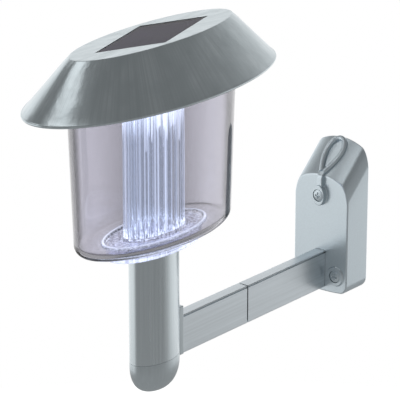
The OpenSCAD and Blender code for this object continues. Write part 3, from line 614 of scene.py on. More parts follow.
def finishes():
    """Every finish of the light, by a short name."""
    c = values().colours
    rows = [
        # stainless sheet, brushed down the slope: fine streaks that fan out, with soft dull patches
        ("roof", "brushed stainless sheet", c.steel, c.steel_shade, (1.1, 120, 1), 1.0, 0.3, 0.04, 0.004,
         "UV", (18, 1.0, 0.4)),
        # stainless tube, brushed along its length: straight vertical hairlines
        ("tube_steel", "brushed stainless tube", shaded(c.steel, 0.93), shaded(c.steel, 0.83), (1.2, 1.2, 70),
         1.0, 0.26, 0.04, 0.01, "Object", (40, 0.2, 0)),
        # anodised aluminium, drawn lengthwise: a satin skin with faint long lines
        ("arm", "anodised drawn aluminium", c.arm, shaded(c.arm, 0.86), (1.4, 60, 1.4),
         1.0, 0.36, 0.05, 0.02, "Object", (30, 0.25, 0)),
        # silver lacquer on a die casting: even metallic grey with a fine sparkle
        ("silver", "silver lacquered casting", c.silver, shaded(c.silver, 0.94), (0.9, 0.9, 0.9),
         0.95, 0.34, 0.04, 0.004, "Object", (26, 0.15, 0)),
        # moulded ABS with metallic pigment: softer and greyer than the steel beside it
        ("cap", "silver moulded ABS", c.cap, shaded(c.cap, 0.93), (1.1, 1.1, 30), 0.95, 0.33, 0.04, 0.01),
        # black moulded ABS: matte, faintly uneven
        ("black", "black moulded ABS", "2E3133", "24272A", (0.8, 0.8, 0.8), 0.0, 0.5, 0.1, 0.03),
        # pale moulded ABS: the light grey underside of the head
        ("pale", "pale moulded ABS", "C9CED1", "BCC2C6", (1.5, 1.5, 1.5), 0.0, 0.45, 0.08, 0.02),
        # silicone seal: pale and dull
        ("seal", "pale silicone", "CBD2D6", "BAC2C8", (2, 2, 2), 0.0, 0.4, 0.05, 0.02),
        # zinc-plated steel: bright with a faint bluish clouding
        ("zinc", "zinc plated steel", "C3C9CD", "9DA5AA", (0.6, 0.6, 0.6), 1.0, 0.3, 0.1, 0.01),
        # nickel-plated spring steel: warmer and smoother than zinc
        ("nickel", "nickel plated spring steel", "C4C0B6", "A8A49A", (1, 1, 1), 1.0, 0.22, 0.06),
        # vapour-metallised ABS: the mirror cup round the diode
        ("mirror", "vapour metallised ABS", "E6EAEC", "D6DBDE", (3, 3, 3), 1.0, 0.12, 0.04),
        # glass-fibre board under green solder mask: glossy with a woven unevenness
        ("board", "green glass fibre board", "2C6E46", "235C3A", (1.2, 1.2, 1.2), 0.0, 0.3, 0.08, 0.02),
        # closed-cell foam: dull black
        ("foam", "black foam", "202224", "15171A", (0.5, 0.5, 0.5), 0.0, 0.85, 0.1, 0.05),
        # shrink sleeve of the cell: smooth plain green
        ("sleeve", "cell shrink sleeve", "4C8A3C", "417A34", (6, 20, 6), 0.0, 0.3, 0.05),
        # PVC wire: smooth red
        ("wire", "red PVC wire", "A8322C", "952B26", (2, 2, 2), 0.0, 0.4, 0.05),
        # polyamide slider: off-white, slightly waxy
        ("nylon", "white polyamide", "EDEDE8", "E0E0DA", (1, 1, 1), 0.0, 0.4, 0.06, 0.01),
    ]
    made = {key: surface(*row) for key, *row in rows}
    # smoky polycarbonate: grey-lilac, darker with painted shade where it is seen edge on
    made["lens"] = clear_plastic("smoky polycarbonate", c.lens, 0.03, c.light, 0.9, ends=42, mirror=0.6)
    # clear polystyrene of the post's socket: icy, its ribs bright with painted glow along its top
    made["socket"] = clear_plastic("clear polystyrene", to_linear("DDE0F0"), 0.12, c.light, 0.32)
    # clear epoxy over the cells: a wet shine on the dark panel
    made["cover"] = clear_plastic("clear potting epoxy", to_linear("E8E6EE"), 0.06, ior=1.12)
    made["tube"] = light_tube_finish(c)
    made["cells"] = cell_finish(c)
    made["diode"] = diode_finish(c)
    return made


def light_tube_finish(c):
    """Clear acrylic with painted glow, as if lit from its top: upright lines of light, bright teeth at the
    top, sparks at the foot.
    """
    made, tree = start("clear acrylic, lit from above")
    lens = mm("lens")
    place = add(tree, "TexCoord")
    height = add(tree, "SeparateXYZ", (place.outputs["Object"],)).outputs["Z"]
    turn = add(tree, "SeparateXYZ", (place.outputs["UV"],)).outputs["X"]

    def wave(size, seed):
        """Even values round the tube that change once every size millimetres and run straight up."""
        along = add(tree, "Math", (turn, 1 / (size * MM), seed), operation="MULTIPLY_ADD")
        return add(tree, "TexNoise", (along, 1.0, 1.0), noise_dimensions="1D")

    def edge(low, high, size, seed, soft):
        """1 above an uneven edge that runs between two heights in millimetres, else 0."""
        limit = add(tree, "MapRange", (wave(size, seed), 0.35, 0.65, low * MM, high * MM))
        over = add(tree, "Math", (height, limit), operation="SUBTRACT")
        return add(tree, "MapRange", (over, 0.0, soft * MM), **SMOOTH)

    # thin upright lines of painted glow over the whole height
    lines = add(tree, "MapRange", (wave(1.5, 3.0), 0.54, 0.64))
    line = add(tree, "Math", (lines, 0.44), operation="MULTIPLY")
    # teeth of light that hang from the top, only under the diode
    teeth = edge(lens.top_z - 10, lens.top_z - 30, 2.2, 11.0, 1.5)
    thin = add(tree, "MapRange", (wave(1.3, 29.0), 0.44, 0.56))
    away = from_axis(tree, place.outputs["Object"])
    under = add(tree, "MapRange", (away, 17 * MM, 9 * MM), **SMOOTH)
    thin = add(tree, "Math", (under, thin), operation="MULTIPLY")
    tooth = add(tree, "Math", (teeth, thin), operation="MULTIPLY")
    # a veil of painted glow that fades downwards, and the tint darkened in upright stripes, painted shade of
    # the flutes
    veil = add(tree, "MapRange", (height, (lens.top_z - 26) * MM, lens.top_z * MM, 0.0, 0.42), **SMOOTH)
    dark = add(tree, "MapRange", (wave(2.1, 71.0), 0.42, 0.58))
    tint = add(tree, "Mix", (dark, rgba(shaded(c.tube, 0.72)), rgba(c.tube)), data_type="RGBA")
    # sparks at the foot
    over_foot = edge(lens.floor_z + 1, lens.floor_z + 7, 1.4, 47.0, 3)
    foot = add(tree, "Math", (1.0, over_foot), operation="SUBTRACT")
    sparks = grained(tree, place.outputs["Object"], (1, 1, 2))
    spark = add(tree, "MapRange", (sparks, 0.45, 0.58))
    low = add(tree, "Math", (foot, spark), operation="MULTIPLY")
    total = line
    for part in (tooth, low, veil):
        total = add(tree, "Math", (total, part), operation="ADD")
    unlit = rgba(shaded(c.light, 0.05))
    glow = add(tree, "Mix", (total, unlit, rgba(c.light)), data_type="RGBA", clamp_factor=True)
    glass = add(tree, "BsdfPrincipled", {
        "Base Color": tint, "Roughness": 0.05, "Transmission Weight": 1.0, "IOR": 1.49,
        "Emission Color": glow, "Emission Strength": 1.0,
    })
    open_way = add(tree, "BsdfTransparent", (rgba(shaded(c.tube, 0.9)),))
    ray = add(tree, "LightPath")
    both = add(tree, "MixShader", (ray.outputs["Is Shadow Ray"], glass, open_way))
    add(tree, "OutputMaterial", (both,))
    return made


def cell_finish(c):
    """Amorphous silicon cells behind film: a dark violet ground crossed by thin dividing lines."""
    made, tree = start("amorphous silicon laminate")
    place = add(tree, "TexCoord").outputs["Object"]
    parts = add(tree, "SeparateXYZ", (place,))
    across = add(tree, "Math", (parts.outputs["Y"], 1 / (9 * MM)), operation="MULTIPLY")
    saw = add(tree, "Math", (across, 1.0), operation="PINGPONG")
    line = add(tree, "MapRange", (saw, 0.04, 0.01, 0.0, 0.35))
    noise = grained(tree, place, (7, 7, 7), 3.0)
    ground = add(tree, "Mix", (noise, rgba(c.cells), rgba(shaded(c.cells, 1.25))), data_type="RGBA")
    lined = add(tree, "Mix", (line, ground, rgba(shaded(c.cells, 2.2))), data_type="RGBA")
    shader = add(tree, "BsdfPrincipled", {"Base Color": lined, "Roughness": 0.3, "Specular IOR Level": 0.15})
    add(tree, "OutputMaterial", (shader,))
    return made


def diode_finish(c):
    """Clear epoxy of the lit diode: brightest inside, a cold white all over."""
    made, tree = start("lit epoxy diode")
    facing = add(tree, "LayerWeight", (0.5,))
    tone = add(tree, "Mix", (facing.outputs["Facing"], rgba((1, 1, 1)), rgba(c.light)), data_type="RGBA")
    shader = add(tree, "BsdfPrincipled", {
        "Base Color": tone, "Roughness": 0.2,
        "Emission Color": rgba(c.light), "Emission Strength": values().studio.glow,
    })
    add(tree, "OutputMaterial", (shader,))
    return made


FINISH = {}


# Pieces of the head


def roof_side(z, head):
    """Half length and half width of the roof's sloping side at a height."""
    foot = [side - head.lip / 2 for side in half(head, "rim")]
    share = (head.rim_z + head.height - z) / (head.height - head.lip)
    return mixed(half(head, "top"), foot, share)


def lozenge(head, out):
    """The panel's four corners, moved outwards on every side."""
    long_corner = np.array([0, -head.panel_length / 2])
    side_corner = np.array([head.panel_width / 2, -head.panel_skew])
    a, b = (long_corner + side_corner) / 2, (long_corner - side_corner) / 2
    area = abs(a[0] * b[1] - a[1] * b[0])
    a, b = a * (1 + out * np.hypot(*b) / area), b * (1 + out * np.hypot(*a) / area)
    return [a + b, b - a, -a - b, a - b]


def lozenge_ring(head, out, z, sides):
    """The lozenge as a ring with one point for each point of an oval, corners included."""
    corners = lozenge(head, out)
    top = oval(*half(head, "top"), 0, sides)
    reach = mm("post").reach
    flat = top[:, :2] + [0, reach]
    scale = np.full(sides, 1e9)
    for p, q in zip(corners, corners[1:] + corners[:1]):
        normal = np.array([q[1] - p[1], p[0] - q[0]])
        normal = normal * np.sign(normal @ p)
        reach_out = flat @ normal
        hit = reach_out > 1e-9
        scale[hit] = np.minimum(scale[hit], (normal @ p) / reach_out[hit])
    ring = flat * scale[:, None]
    for corner in corners:
        ring[np.argmin(np.hypot(*(ring - corner).T))] = corner
    return np.column_stack([ring[:, 0], ring[:, 1] - reach, np.full(sides, z)])


class FENCELIGHT_OT_roof(bpy.types.Operator):
    """Pressed and brushed sheet roof with its rolled lip and the panel window"""

    bl_idname = "fencelight.roof"
    bl_label = "Roof"

    def execute(self, context):
        head, sides = mm("head"), values().studio.sides
        top_z = head.rim_z + head.height
        level_sheet = head.sheet * math.sqrt(2)
        lip_r = head.lip / 2
        rim = half(head, "rim")
        window_top = lozenge_ring(head, 0.05, top_z, sides)
        top_oval = around(top_z, roof_side(top_z, head), -head.crest)
        rings = [lozenge_ring(head, 0.05, top_z - head.sheet, sides), window_top]
        rings += [window_top + (top_oval - window_top) * share for share in (0.02, 0.35, 0.7)]
        for angle in arc(0, 45, 5):
            z = top_z - head.crest * (1 - math.cos(angle)) * 1.4
            rings.append(around(z, roof_side(top_z, head), -head.crest + head.crest * math.sin(angle) * 1.2))
        foot_z = head.rim_z + head.lip
        for share in (0.1, 0.3, 0.5, 0.7, 0.88, 1.0):
            z = top_z - head.crest + (foot_z - top_z + head.crest) * share
            rings.append(around(z, roof_side(z, head)))
        for angle in arc(54, -90, 12):
            z, out = foot_z - lip_r + lip_r * math.sin(angle), -lip_r + lip_r * math.cos(angle)
            rings.append(around(z, rim, out))
        shelf_z = head.rim_z + head.sheet
        rings += [around(head.rim_z, rim, -head.lip_in), around(shelf_z, rim, -head.lip_in)]
        rings += [around(z, roof_side(z, head), -level_sheet) for z in (shelf_z, top_z - head.sheet)]
        roof = loft("roof_sheet", rings, loop=True, sharp=40)
        dressed(roof, "roof", ["roof_shell"], "head")
        return {"FINISHED"}


class FENCELIGHT_OT_panel(bpy.types.Operator):
    """Solar panel: clear cover, cell laminate and foam frame"""

    bl_idname = "fencelight.panel"
    bl_label = "Solar panel"

    def execute(self, context):
        head = mm("head")
        reach = mm("post").reach
        cover_z = head.rim_z + head.height - head.cover_sink

        def slab(name, out, low, high, edge):
            bar = prism(name, lozenge(head, out), lambda a, b, z: (a, b - reach, z), (low, high))
            return softened(bar, edge, 2)

        cover = slab("panel_clear_cover", 0, cover_z - head.cover, cover_z, 0.25)
        dressed(cover, "cover", ["panel_cover"], "head")
        cells_z = cover_z - head.cover
        cells = slab("panel_cells", head.panel_rim, cells_z - head.cells, cells_z, 0.2)
        dressed(cells, "cells", ["solar_panel"], "head")
        refined("panel_gasket", "panel_foam", "foam", "head", 0.15)
        return {"FINISHED"}


class FENCELIGHT_OT_head_inside(bpy.types.Operator):
    """Base plate, tray, board, cell and switch under the roof"""

    bl_idname = "fencelight.head_inside"
    bl_label = "Inside of the head"

    def execute(self, context):
        table = [
            ("head_base", "base_plate", "pale", "pale_grey_plastic", 0.2),
            ("panel_tray", "panel_carrier", "black", "dark_plastic", 0.3),
            ("circuit_board", "charging_board", "board", "board_green", 0.1),
            ("battery_holder", "cell_cradle", "black", "dark_plastic", 0.25),
            ("battery", "cell", "sleeve", "battery_sleeve", 0.4),
            ("battery_contact", "cell_contact", "nickel", "contact_nickel", 0.08),
            ("battery_lead", "cell_wire", "wire", "wire_sleeve", 0.1),
            ("panel_leads", "panel_wires", "wire", "wire_sleeve", 0.1),
            ("switch_body", "switch_case", "black", "dark_plastic", 0.15),
        ]
        for node, name, finish, slot, edge in table:
            refined(node, name, finish, "head", edge)
        refined("switch_slider", "switch_knob", "nylon", "switch", 0.2)
        head, lens = mm("head"), mm("lens")
        outer, low, high = half(lens, "top"), lens.top_z + 0.05, lens.top_z + head.seal - 0.05
        rings = skins((z, outer, out) for z, out in (
            (low, -0.3), (low + 0.3, -0.05), (low + 0.9, 0.0),
            (high - 0.9, 0.0), (high - 0.3, -0.05), (high, -0.3),
            (high, -lens.wall + 0.1), (low, -lens.wall + 0.1),
        ))
        seal = loft("lens_seal", rings, loop=True, sharp=60)
        dressed(seal, "seal", ["head_seal"], "head")
        return {"FINISHED"}


def turned(name, profile, sides=64, sharp=35):
    """A turned piece round the post's axis from (z, radius) pairs, in millimetres."""
    return loft(name, [oval(r, r, z, sides) for z, r in profile], sharp=sharp)


class FENCELIGHT_OT_diode(bpy.types.Operator):
    """Lit diode with its legs, and the mirror cup round it"""

    bl_idname = "fencelight.diode"
    bl_label = "Diode and reflector"

    def execute(self, context):
        low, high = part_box("led_reflector")
        base_z = high.z / MM
        throat, cup, flange, long, thick = 2.55, 7.6, 8.4, 7.0, 0.8
        under, outer = base_z - thick, throat + 1.5
        profile = [(base_z, throat), (base_z, flange), (under, flange), (under, outer)]
        for t in (0.2, 0.4, 0.7, 1):
            profile.append((under - (long - thick) * t, outer + (cup + 0.7 - throat - 1.5) * t ** 0.6))
        profile.append((base_z - long, cup))
        for t in (0.25, 0.5, 0.75, 1):
            profile.append((base_z - long + (long - thick) * t, cup - (cup - throat) * t ** 1.6))
        shell = loft("diode_cup", [oval(r, r, z, 96) for z, r in profile], loop=True)
        dressed(shell, "mirror", ["led_reflector"], "head")
        low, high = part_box("led")
        tip, r = low.z / MM, 2.5
        dome = [(tip + r - r * math.cos(a), max(0.05, r * math.sin(a))) for a in arc(0, 90, 10)]
        body = turned("diode_body", dome + [(base_z + 2.0, r), (base_z + 2.0, 2.9), (base_z + 3.0, 2.9)])
        legs, half_pitch, leg_r = [], 1.27, 0.3
        for x in (-half_pitch, half_pitch):
            leg = turned("leg", [(base_z + 2.5, leg_r), (high.z / MM, leg_r)], 16)
            leg.data.transform(Matrix.Translation((x * MM, 0, 0)))
            legs.append(leg)
        dressed(joined("diode", [body, *legs]), "diode", ["led"], "head")
        return {"FINISHED"}


class FENCELIGHT_OT_lens(bpy.types.Operator):
    """Smoky lens with its floor, bead ring and collar, and the fluted light tube"""

    bl_idname = "fencelight.lens"
    bl_label = "Lens and light tube"

    def execute(self, context):
        s = mm("lens")
        collar, bead, foot, top, tube = (half(s, name) for name in ("collar", "bead", "foot", "top", "tube"))
        floor, edge_in, bevel = s.floor_z + s.wall, s.edge - s.wall / 2, 0.3
        rings = skins((
            (s.floor_z, collar, -s.collar_wall), (s.collar_z + bevel, collar, -s.collar_wall),
            (s.collar_z, collar, bevel - s.collar_wall), (s.collar_z, collar, -bevel),
            (s.collar_z + bevel, collar), (s.floor_z, collar),
        ))
        for a in arc(0, 90, 12):
            rings.append(around(s.floor_z + s.edge * (1 - math.cos(a)), foot, s.edge * (math.sin(a) - 1)))
        wall_z = s.floor_z + s.edge
        rings += skins((wall_z + (s.top_z - s.floor_z - s.edge) * t, mixed(foot, top, t))
                       for t in (0.25, 0.5, 0.75, 0.99))
        rings += skins((
            (s.top_z, top, -bevel), (s.top_z, top, bevel - s.wall), (s.top_z - 0.6, top, -s.wall),
        ))
        wall_z = floor + edge_in
        rings += skins((wall_z + (s.top_z - floor - edge_in) * t, mixed(foot, top, t), -s.wall)
                       for t in (0.75, 0.5, 0.25))
        for a in arc(90, 0, 12):
            z, out = floor + edge_in * (1 - math.cos(a)), -s.wall + edge_in * (math.sin(a) - 1)
            rings.append(around(z, foot, out))
        rings += skins((floor + s.bead * math.sin(a), bead, s.bead * math.cos(a)) for a in arc(0, 180, 10))
        rings += skins((floor + up, tube, out)
                       for up, out in ((0, 1.6), (1.3, 1.5), (1.6, 1.2), (1.6, 0.6), (0, 0.4)))
        # painted glow: the collar faintly, the bead ring most on its top, and the light tube's seat in
        # between
        collar_glow, seat_glow = 0.25, 0.58
        bead_glow = [math.sin(math.pi * (step + 0.5) / 11) for step in range(10)]
        lit = [collar_glow] * 6 + [0.0] * (len(rings) - 22) + bead_glow + [seat_glow] * 6
        lens = loft("lens", rings, sharp=50, lit=lit)
        dressed(lens, "lens", ["lens_shell"], "lens")

        box_low, box_high = (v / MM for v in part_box("light_tube"))
        flutes, sides = 26, 26 * 14
        angles = np.arange(sides) * 2 * math.pi / sides
        depth = s.flute * (1 - np.cos(flutes * angles)) / 2
        reach = mm("post").reach

        def fluted(z):
            x, y = (tube[1] - depth) * np.cos(angles), -reach + (tube[0] - depth) * np.sin(angles)
            return np.stack([x, y, np.full(sides, z)], 1)

        rings = [fluted(z) for z in np.linspace(box_low.z, box_high.z, 8)]
        inner = [side - s.tube_wall for side in tube]
        rings += [oval(*inner, z, sides) for z in (box_high.z, box_low.z)]
        shell = loft("fluted_tube", rings, loop=True, sharp=50)
        dressed(shell, "tube", ["light_tube"], "lens")
        return {"FINISHED"}


# Pieces of the post and the arm


class FENCELIGHT_OT_post(bpy.types.Operator):
    """Oval post, its end cap and the ribbed socket under the lens"""

    bl_idname = "fencelight.post"
    bl_label = "Post"

    def execute(self, context):
        s = mm("post")
        side = (s.length / 2, s.width / 2)
        top, seam = mm("lens").collar_z, 0.05
        rings = skins((
            (s.foot_z + seam, side, -0.06), (s.foot_z + 0.12, side), (top - 0.2, side), (top, side, -0.2),
            (top, side, -s.wall), (s.foot_z + seam, side, -s.wall),
        ))
        tube = loft("post", rings, loop=True, sharp=60)
        dressed(tube, "tube_steel", ["post_tube"], "lamp_arm")

        rings = []
        for angle in arc(1.5, 90, 28):
            share = math.sin(angle) ** 0.65
            z = s.foot_z - s.cap_side - s.cap * math.cos(angle)
            rings.append(oval(side[0] * share, side[1] * share, z))
        cap_z, plug, hollow = s.foot_z - seam, -s.wall - 0.05, -s.wall - 2.05
        rings += skins((
            (cap_z - 0.1, side), (cap_z, side, -0.1), (cap_z, side, plug), (s.foot_z + 6, side, plug),
            (s.foot_z + 6, side, hollow), (s.foot_z - 1.5, side, hollow),
        ))
        dressed(loft("end_cap", rings, sharp=50), "cap", ["post_end_cap"], "lamp_arm")
        socket = refined("post_socket", "lens_socket", "socket", "lamp_arm", sharp=50)
        # painted glow: the socket's top is marked as lit
        marked(socket, [1.0 if v.co.z > (top - 0.5) * MM else 0.0 for v in socket.data.vertices])
        return {"FINISHED"}


def arm_section(s, inset, grooved):
    """Outline of the arm's section, half first, as (x, z) pairs; the groove runs under the top edges."""
    w, h, r = s.width / 2 - inset, s.height / 2 - inset, max(0.1, s.corner - inset)
    side = [(w - r + r * math.sin(a), h - r + r * math.cos(a)) for a in arc(0, 90, 3)]
    if grooved:
        top, low = h - s.groove_top, h - s.groove_low
        side += [(w, top), (w - s.groove, top - 0.05), (w - s.groove, low + 0.1), (w, low)]
    else:
        side += [(w, h - r - 0.15 - 0.2 * i) for i in range(4)]
    side += [(w - r + r * math.cos(a), -h + r - r * math.sin(a)) for a in arc(0, 90, 3)]
    return side + [(-x, z) for x, z in reversed(side)]


class FENCELIGHT_OT_arm(bpy.types.Operator):
    """Two arm halves with their grooves, the insert between them and the flange at the post"""

    bl_idname = "fencelight.arm"
    bl_label = "Arm"

    def execute(self, context):
        s = mm("arm")
        near, far = -s.joint - s.joint_gap / 2, -s.joint + s.joint_gap / 2
        halves = [("arm_near", -s.front_end, near, "arm_front", "lamp_arm"),
                  ("arm_far", far, -s.rear_end, "arm_rear", "wall_bracket")]
        bevel = 0.12
        outer, rim = arm_section(s, 0, True), arm_section(s, bevel, True)
        inner = arm_section(s, s.wall, False)
        for name, y0, y1, node, body in halves:
            steps = ((rim, y0), (outer, y0 + bevel), (outer, y1 - bevel), (rim, y1), (inner, y1), (inner, y0))
            rings = [[(x, y, s.middle_z + z) for x, z in outline] for outline, y in steps]
            half_arm = loft(name, rings, loop=True, sharp=40)
            dressed(half_arm, "arm", [node], body)
        refined("arm_spigot", "arm_insert", "black", "lamp_arm", 0.3)
        refined("arm_flange", "post_flange", "cap", "lamp_arm", 0.4)
        return {"FINISHED"}


# Pieces of the bracket


def arch_radius(half, drop):
    """Radius of an arc that falls by drop over half its width."""
    return (half**2 + drop**2) / (2 * drop)


def bracket_outline(s, inset, raised):
    """Front outline of the bracket at one depth, as (x, z) pairs from the crown round to the crown."""
    w, r, top = s.width / 2 - inset, s.foot - inset, s.height / 2
    slope = math.atan2(s.rise, s.depth)
    drop = inset / math.cos(slope)
    crown = top - s.rise + raised - drop
    arch_r = arch_radius(s.arch_half, s.arch_drop)
    foot_r = arch_radius(s.width / 2, s.foot_drop)
    xs = np.linspace(0, s.arch_half - s.arch_end - inset, 13)
    points = [(x, crown - (arch_r - math.sqrt(arch_r**2 - x * x))) for x in xs]
    start, bend, end = points[-1], (w - s.shoulder_in, crown - s.shoulder_down), (w, crown - s.shoulder)
    for k in np.linspace(0, 1, 9)[1:]:
        first, second, third = (1 - k)**2, 2 * k * (1 - k), k * k
        points.append(tuple(first * a + second * b + third * c for a, b, c in zip(start, bend, end)))
    foot = -top + inset
    points += [(w, z) for z in np.linspace(crown - s.shoulder, foot + r, 6)[1:-1]]
    for angle in arc(0, 90, 10):
        points.append((w - r + r * math.cos(angle), foot + r - r * math.sin(angle)))
    points += [(x, foot) for x in np.linspace(w - r, 0, 8)[1:]]
    lifted = []
    for x, z in points:
        low = foot + foot_r - math.sqrt(foot_r**2 - x * x)
        lifted.append((x, max(z, low)))
    mirrored = [(-x, z) for x, z in reversed(lifted[1:-1])]
    return lifted + mirrored


def bracket_block(name, s, inset, back):
    """Solid of the bracket, drawn in by inset, from its front to y = back."""
    front = -s.depth + inset
    outlines = [(y, bracket_outline(s, inset, (y + s.depth) * s.rise / s.depth)) for y in (back, front)]
    return loft(name, [[(x, y, z) for x, z in outline] for y, outline in outlines])


def node_group(name, **kinds):
    """A new node tree with named inputs and a mesh as its output, and the node that hands the inputs out."""
    tree = bpy.data.node_groups.new(name, "GeometryNodeTree")
    for label, kind in kinds.items():
        tree.interface.new_socket(label, in_out="INPUT", socket_type="NodeSocket" + kind)
    tree.interface.new_socket("Mesh", in_out="OUTPUT", socket_type="NodeSocketGeometry")
    return tree, add(tree, "NodeGroupInput")


def handed_out(tree, given, made):
    """Ends a node tree: what was made becomes real mesh with the given finish."""
    real = add(tree, "GeometryNodeRealizeInstances", {"Geometry": made})
    finish = add(tree, "GeometryNodeSetMaterial", {"Geometry": real, "Material": given.outputs["Finish"]})
    add(tree, "NodeGroupOutput", (finish,))
    return tree


def instance_tree(name):
    """Node tree that sets a source object on every point."""
    tree, given = node_group(name, Points="Geometry", Source="Object", Finish="Material")
    source = add(tree, "GeometryNodeObjectInfo", {"Object": given.outputs["Source"]})
    points = add(tree, "GeometryNodeMeshToPoints", {"Mesh": given.outputs["Points"]})
    parts = {"Points": points, "Instance": source.outputs["Geometry"]}
    return handed_out(tree, given, add(tree, "GeometryNodeInstanceOnPoints", parts))


def bar_tree(name):
    """Node tree that runs a round bar along a path."""
    tree, given = node_group(name, Path="Geometry", Radius="Float", Finish="Material")
    curve = add(tree, "GeometryNodeMeshToCurve", {"Mesh": given.outputs["Path"]})
    ring = {"Resolution": 16, "Radius": given.outputs["Radius"]}
    circle = add(tree, "GeometryNodeCurvePrimitiveCircle", ring)
    parts = {"Curve": curve, "Profile Curve": circle, "Fill Caps": True}
    return handed_out(tree, given, add(tree, "GeometryNodeCurveToMesh", parts))


def run_tree(name, tree, start_mesh, inputs):
    """Runs a node tree on a start mesh and returns its result as a plain mesh object at the origin."""
    piece = placed(name, start_mesh)
    nodes = piece.modifiers.new("nodes", "NODES")
    nodes.node_group = tree
    for item in tree.interface.items_tree:
        if item.in_out == "INPUT" and item.name in inputs:
            nodes[item.identifier] = inputs[item.name]
    return applied(piece, 45)


def screw_source(shank, head_d, head_h, long):
    """One pan-head screw along +Z with its seat at the origin and a cross recess, in millimetres."""
    r, sides = head_d / 2, 48
    angles = np.arange(sides) * 2 * math.pi / sides
    profile = [(-head_h, 0.02)]
    for a in arc(12, 90, 8):
        z, rad = -head_h * (0.45 + 0.55 * math.cos(a)), r * (0.55 * math.sin(a) + 0.45 * math.sin(a) ** 3)
        profile.append((z, rad))
    profile += [(-0.05, r), (0, r - 0.1), (0, shank / 2), (long - 0.6, shank / 2), (long, shank / 2 - 0.5)]
    level_ring = np.stack([np.cos(angles), np.sin(angles), np.zeros(sides)], 1)
    body = loft("screw", [level_ring * rad + [0, 0, z] for z, rad in profile], sharp=40)
    arm, thick = head_d * 0.3, head_d * 0.07
    quarter = [(arm, thick), (thick, thick), (thick, arm)]
    plus = quarter + [(-a, b) for a, b in quarter[::-1]]
    plus += [(-a, -b) for a, b in plus[:3]] + [(a, -b) for a, b in quarter[::-1]]
    ends = ((-head_h - 1, 1.3), (-head_h + head_h * 0.6, 0.7))
    tool = loft("cross", [[(a * t, b * t, z) for a, b in plus] for z, t in ends])
    return softened(cut(body, tool), 0.06, 1, 50, 45)


def set_screws(name, places, turn_to, sizes, node, body, finish="zinc"):
    """Sets one screw on each place. turn_to is the matrix that turns +Z to the screws' direction.

    sizes are shank, head, height of the head and length of the shank, in millimetres.
    """
    source = screw_source(*sizes)
    source.data.transform(turn_to)
    points = bpy.data.meshes.new(name + "_places")
    points.from_pydata([tuple(v * MM for v in p) for p in places], [], [])
    tree = bpy.data.node_groups.get("screws on places") or instance_tree("screws on places")
    piece = run_tree(name, tree, points, {"Source": source, "Finish": FINISH[finish]})
    bpy.data.objects.remove(source)
    return dressed(piece, finish, [node], body)


class FENCELIGHT_OT_bracket(bpy.types.Operator):
    """Bracket cover with its bosses and raised bead, and the wall plate behind it"""

    bl_idname = "fencelight.bracket"
    bl_label = "Bracket"

    def execute(self, context):
        s, arm = mm("bracket"), mm("arm")
        body = softened(bracket_block("body", s, 0, 0), s.edge, 4, 40, 60)
        section = arm_section(arm, -0.1, False)
        hole = prism("hole", section, lambda x, z, y: (x, y, arm.middle_z + z), (-s.depth - 5, -1))
        cut(body, bracket_block("hollow", s, s.wall, 1), hole)
        front = -s.depth

        def boss(name, x, z, half_x, half_z, out, edge):
            steps = ((front + 1, 0.4), (front - 0.1, 0.4), (front - 0.4, 0.1), (front - out + edge, 0),
                     (front - out + edge * 0.3, -edge * 0.3), (front - out, -edge))
            rings = [upright(x, y, z, half_x + grow, half_z + grow, 64) for y, grow in steps]
            return loft(name, rings, sharp=50)

        def seat(x, z, out):
            screws, gap = mm("screws"), 0.1
            r = screws.cover_head / 2 + gap
            ends = (front - out - 1, front - out + screws.sink)
            return loft("seat", [upright(x, y, z, r, r, 48) for y in ends])

        top_boss = boss("top_boss", 0, s.boss_z, s.boss_width / 2, s.boss_length / 2, s.boss_out, 0.5)
        bosses = [cut(top_boss, seat(0, s.boss_z, s.boss_out))]
        for x in (-s.low_x, s.low_x):
            low = boss("low_boss", x, s.low_z, s.low_width / 2, s.low_width / 2, s.low_out, 0.5)
            bosses.append(cut(low, seat(x, s.low_z, s.low_out)))
        cover = joined("bracket_cover_dressed", [body, *bosses, self.bead(s), self.neck(s)])
        dressed(cover, "silver", ["bracket_cover"], "wall_bracket")
        refined("wall_plate", "wall_plate_moulding", "black", "wall_bracket", 0.25)
        return {"FINISHED"}

    def on_slope(self, s, x, along, lift):
        """A point on the sloping top: x across, along the slope from its front edge, lift off it."""
        slope = math.atan2(s.rise, s.depth)
        up, out = (math.cos(slope), math.sin(slope)), (-math.sin(slope), math.cos(slope))
        y = -s.depth + up[0] * along + out[0] * lift
        z = s.height / 2 - s.rise + up[1] * along + out[1] * lift
        return Vector((x, y, z))

    def bead(self, s):
        """The leaf-shaped loop, as a round bar along its path."""
        slope = math.atan2(s.rise, s.depth)
        arch_r = arch_radius(s.arch_half, s.arch_drop * math.cos(slope))
        path = []
        for angle in arc(30, 330, 96):
            x = s.leaf_half * math.sin(angle) * math.sin(angle / 2)
            sag = arch_r - math.sqrt(arch_r**2 - x * x)
            along = s.leaf_start + s.leaf_length * (1 - math.cos(angle)) / 2
            path.append(self.on_slope(s, x, along, s.leaf_lift - sag))
        return rod_along("bead", path, s.bead)

    def neck(self, s):
        """The flat band from the top boss over the front edge, where the loop's two strands meet."""
        half_width, out, up_slope, lift, front = 1.8, 2.4, 4, 1.2, -s.depth
        crest = s.height / 2 - s.rise
        end = self.on_slope(s, 0, up_slope, lift)
        outline = [(front + 1, s.boss_z), (front - out, s.boss_z), (front - out, crest - 1.6)]
        outline += [(front - out + 0.9, crest + 0.5), (end.y, end.z), (end.y + lift, end.z - lift)]
        band = prism("neck", outline, lambda y, z, x: (x, y, z), (-half_width, half_width))
        return softened(band, 0.5, 3, 25)


def rod_along(name, path, radius):
    """A round bar of a radius in millimetres along a path of points."""
    tree = bpy.data.node_groups.get("bar along a path") or bar_tree("bar along a path")
    line = bpy.data.meshes.new(name + "_path")
    line.from_pydata([tuple(Vector(p) * MM) for p in path], [(i, i + 1) for i in range(len(path) - 1)], [])
    return run_tree(name, tree, line, {"Radius": radius * MM, "Finish": FINISH["silver"]})


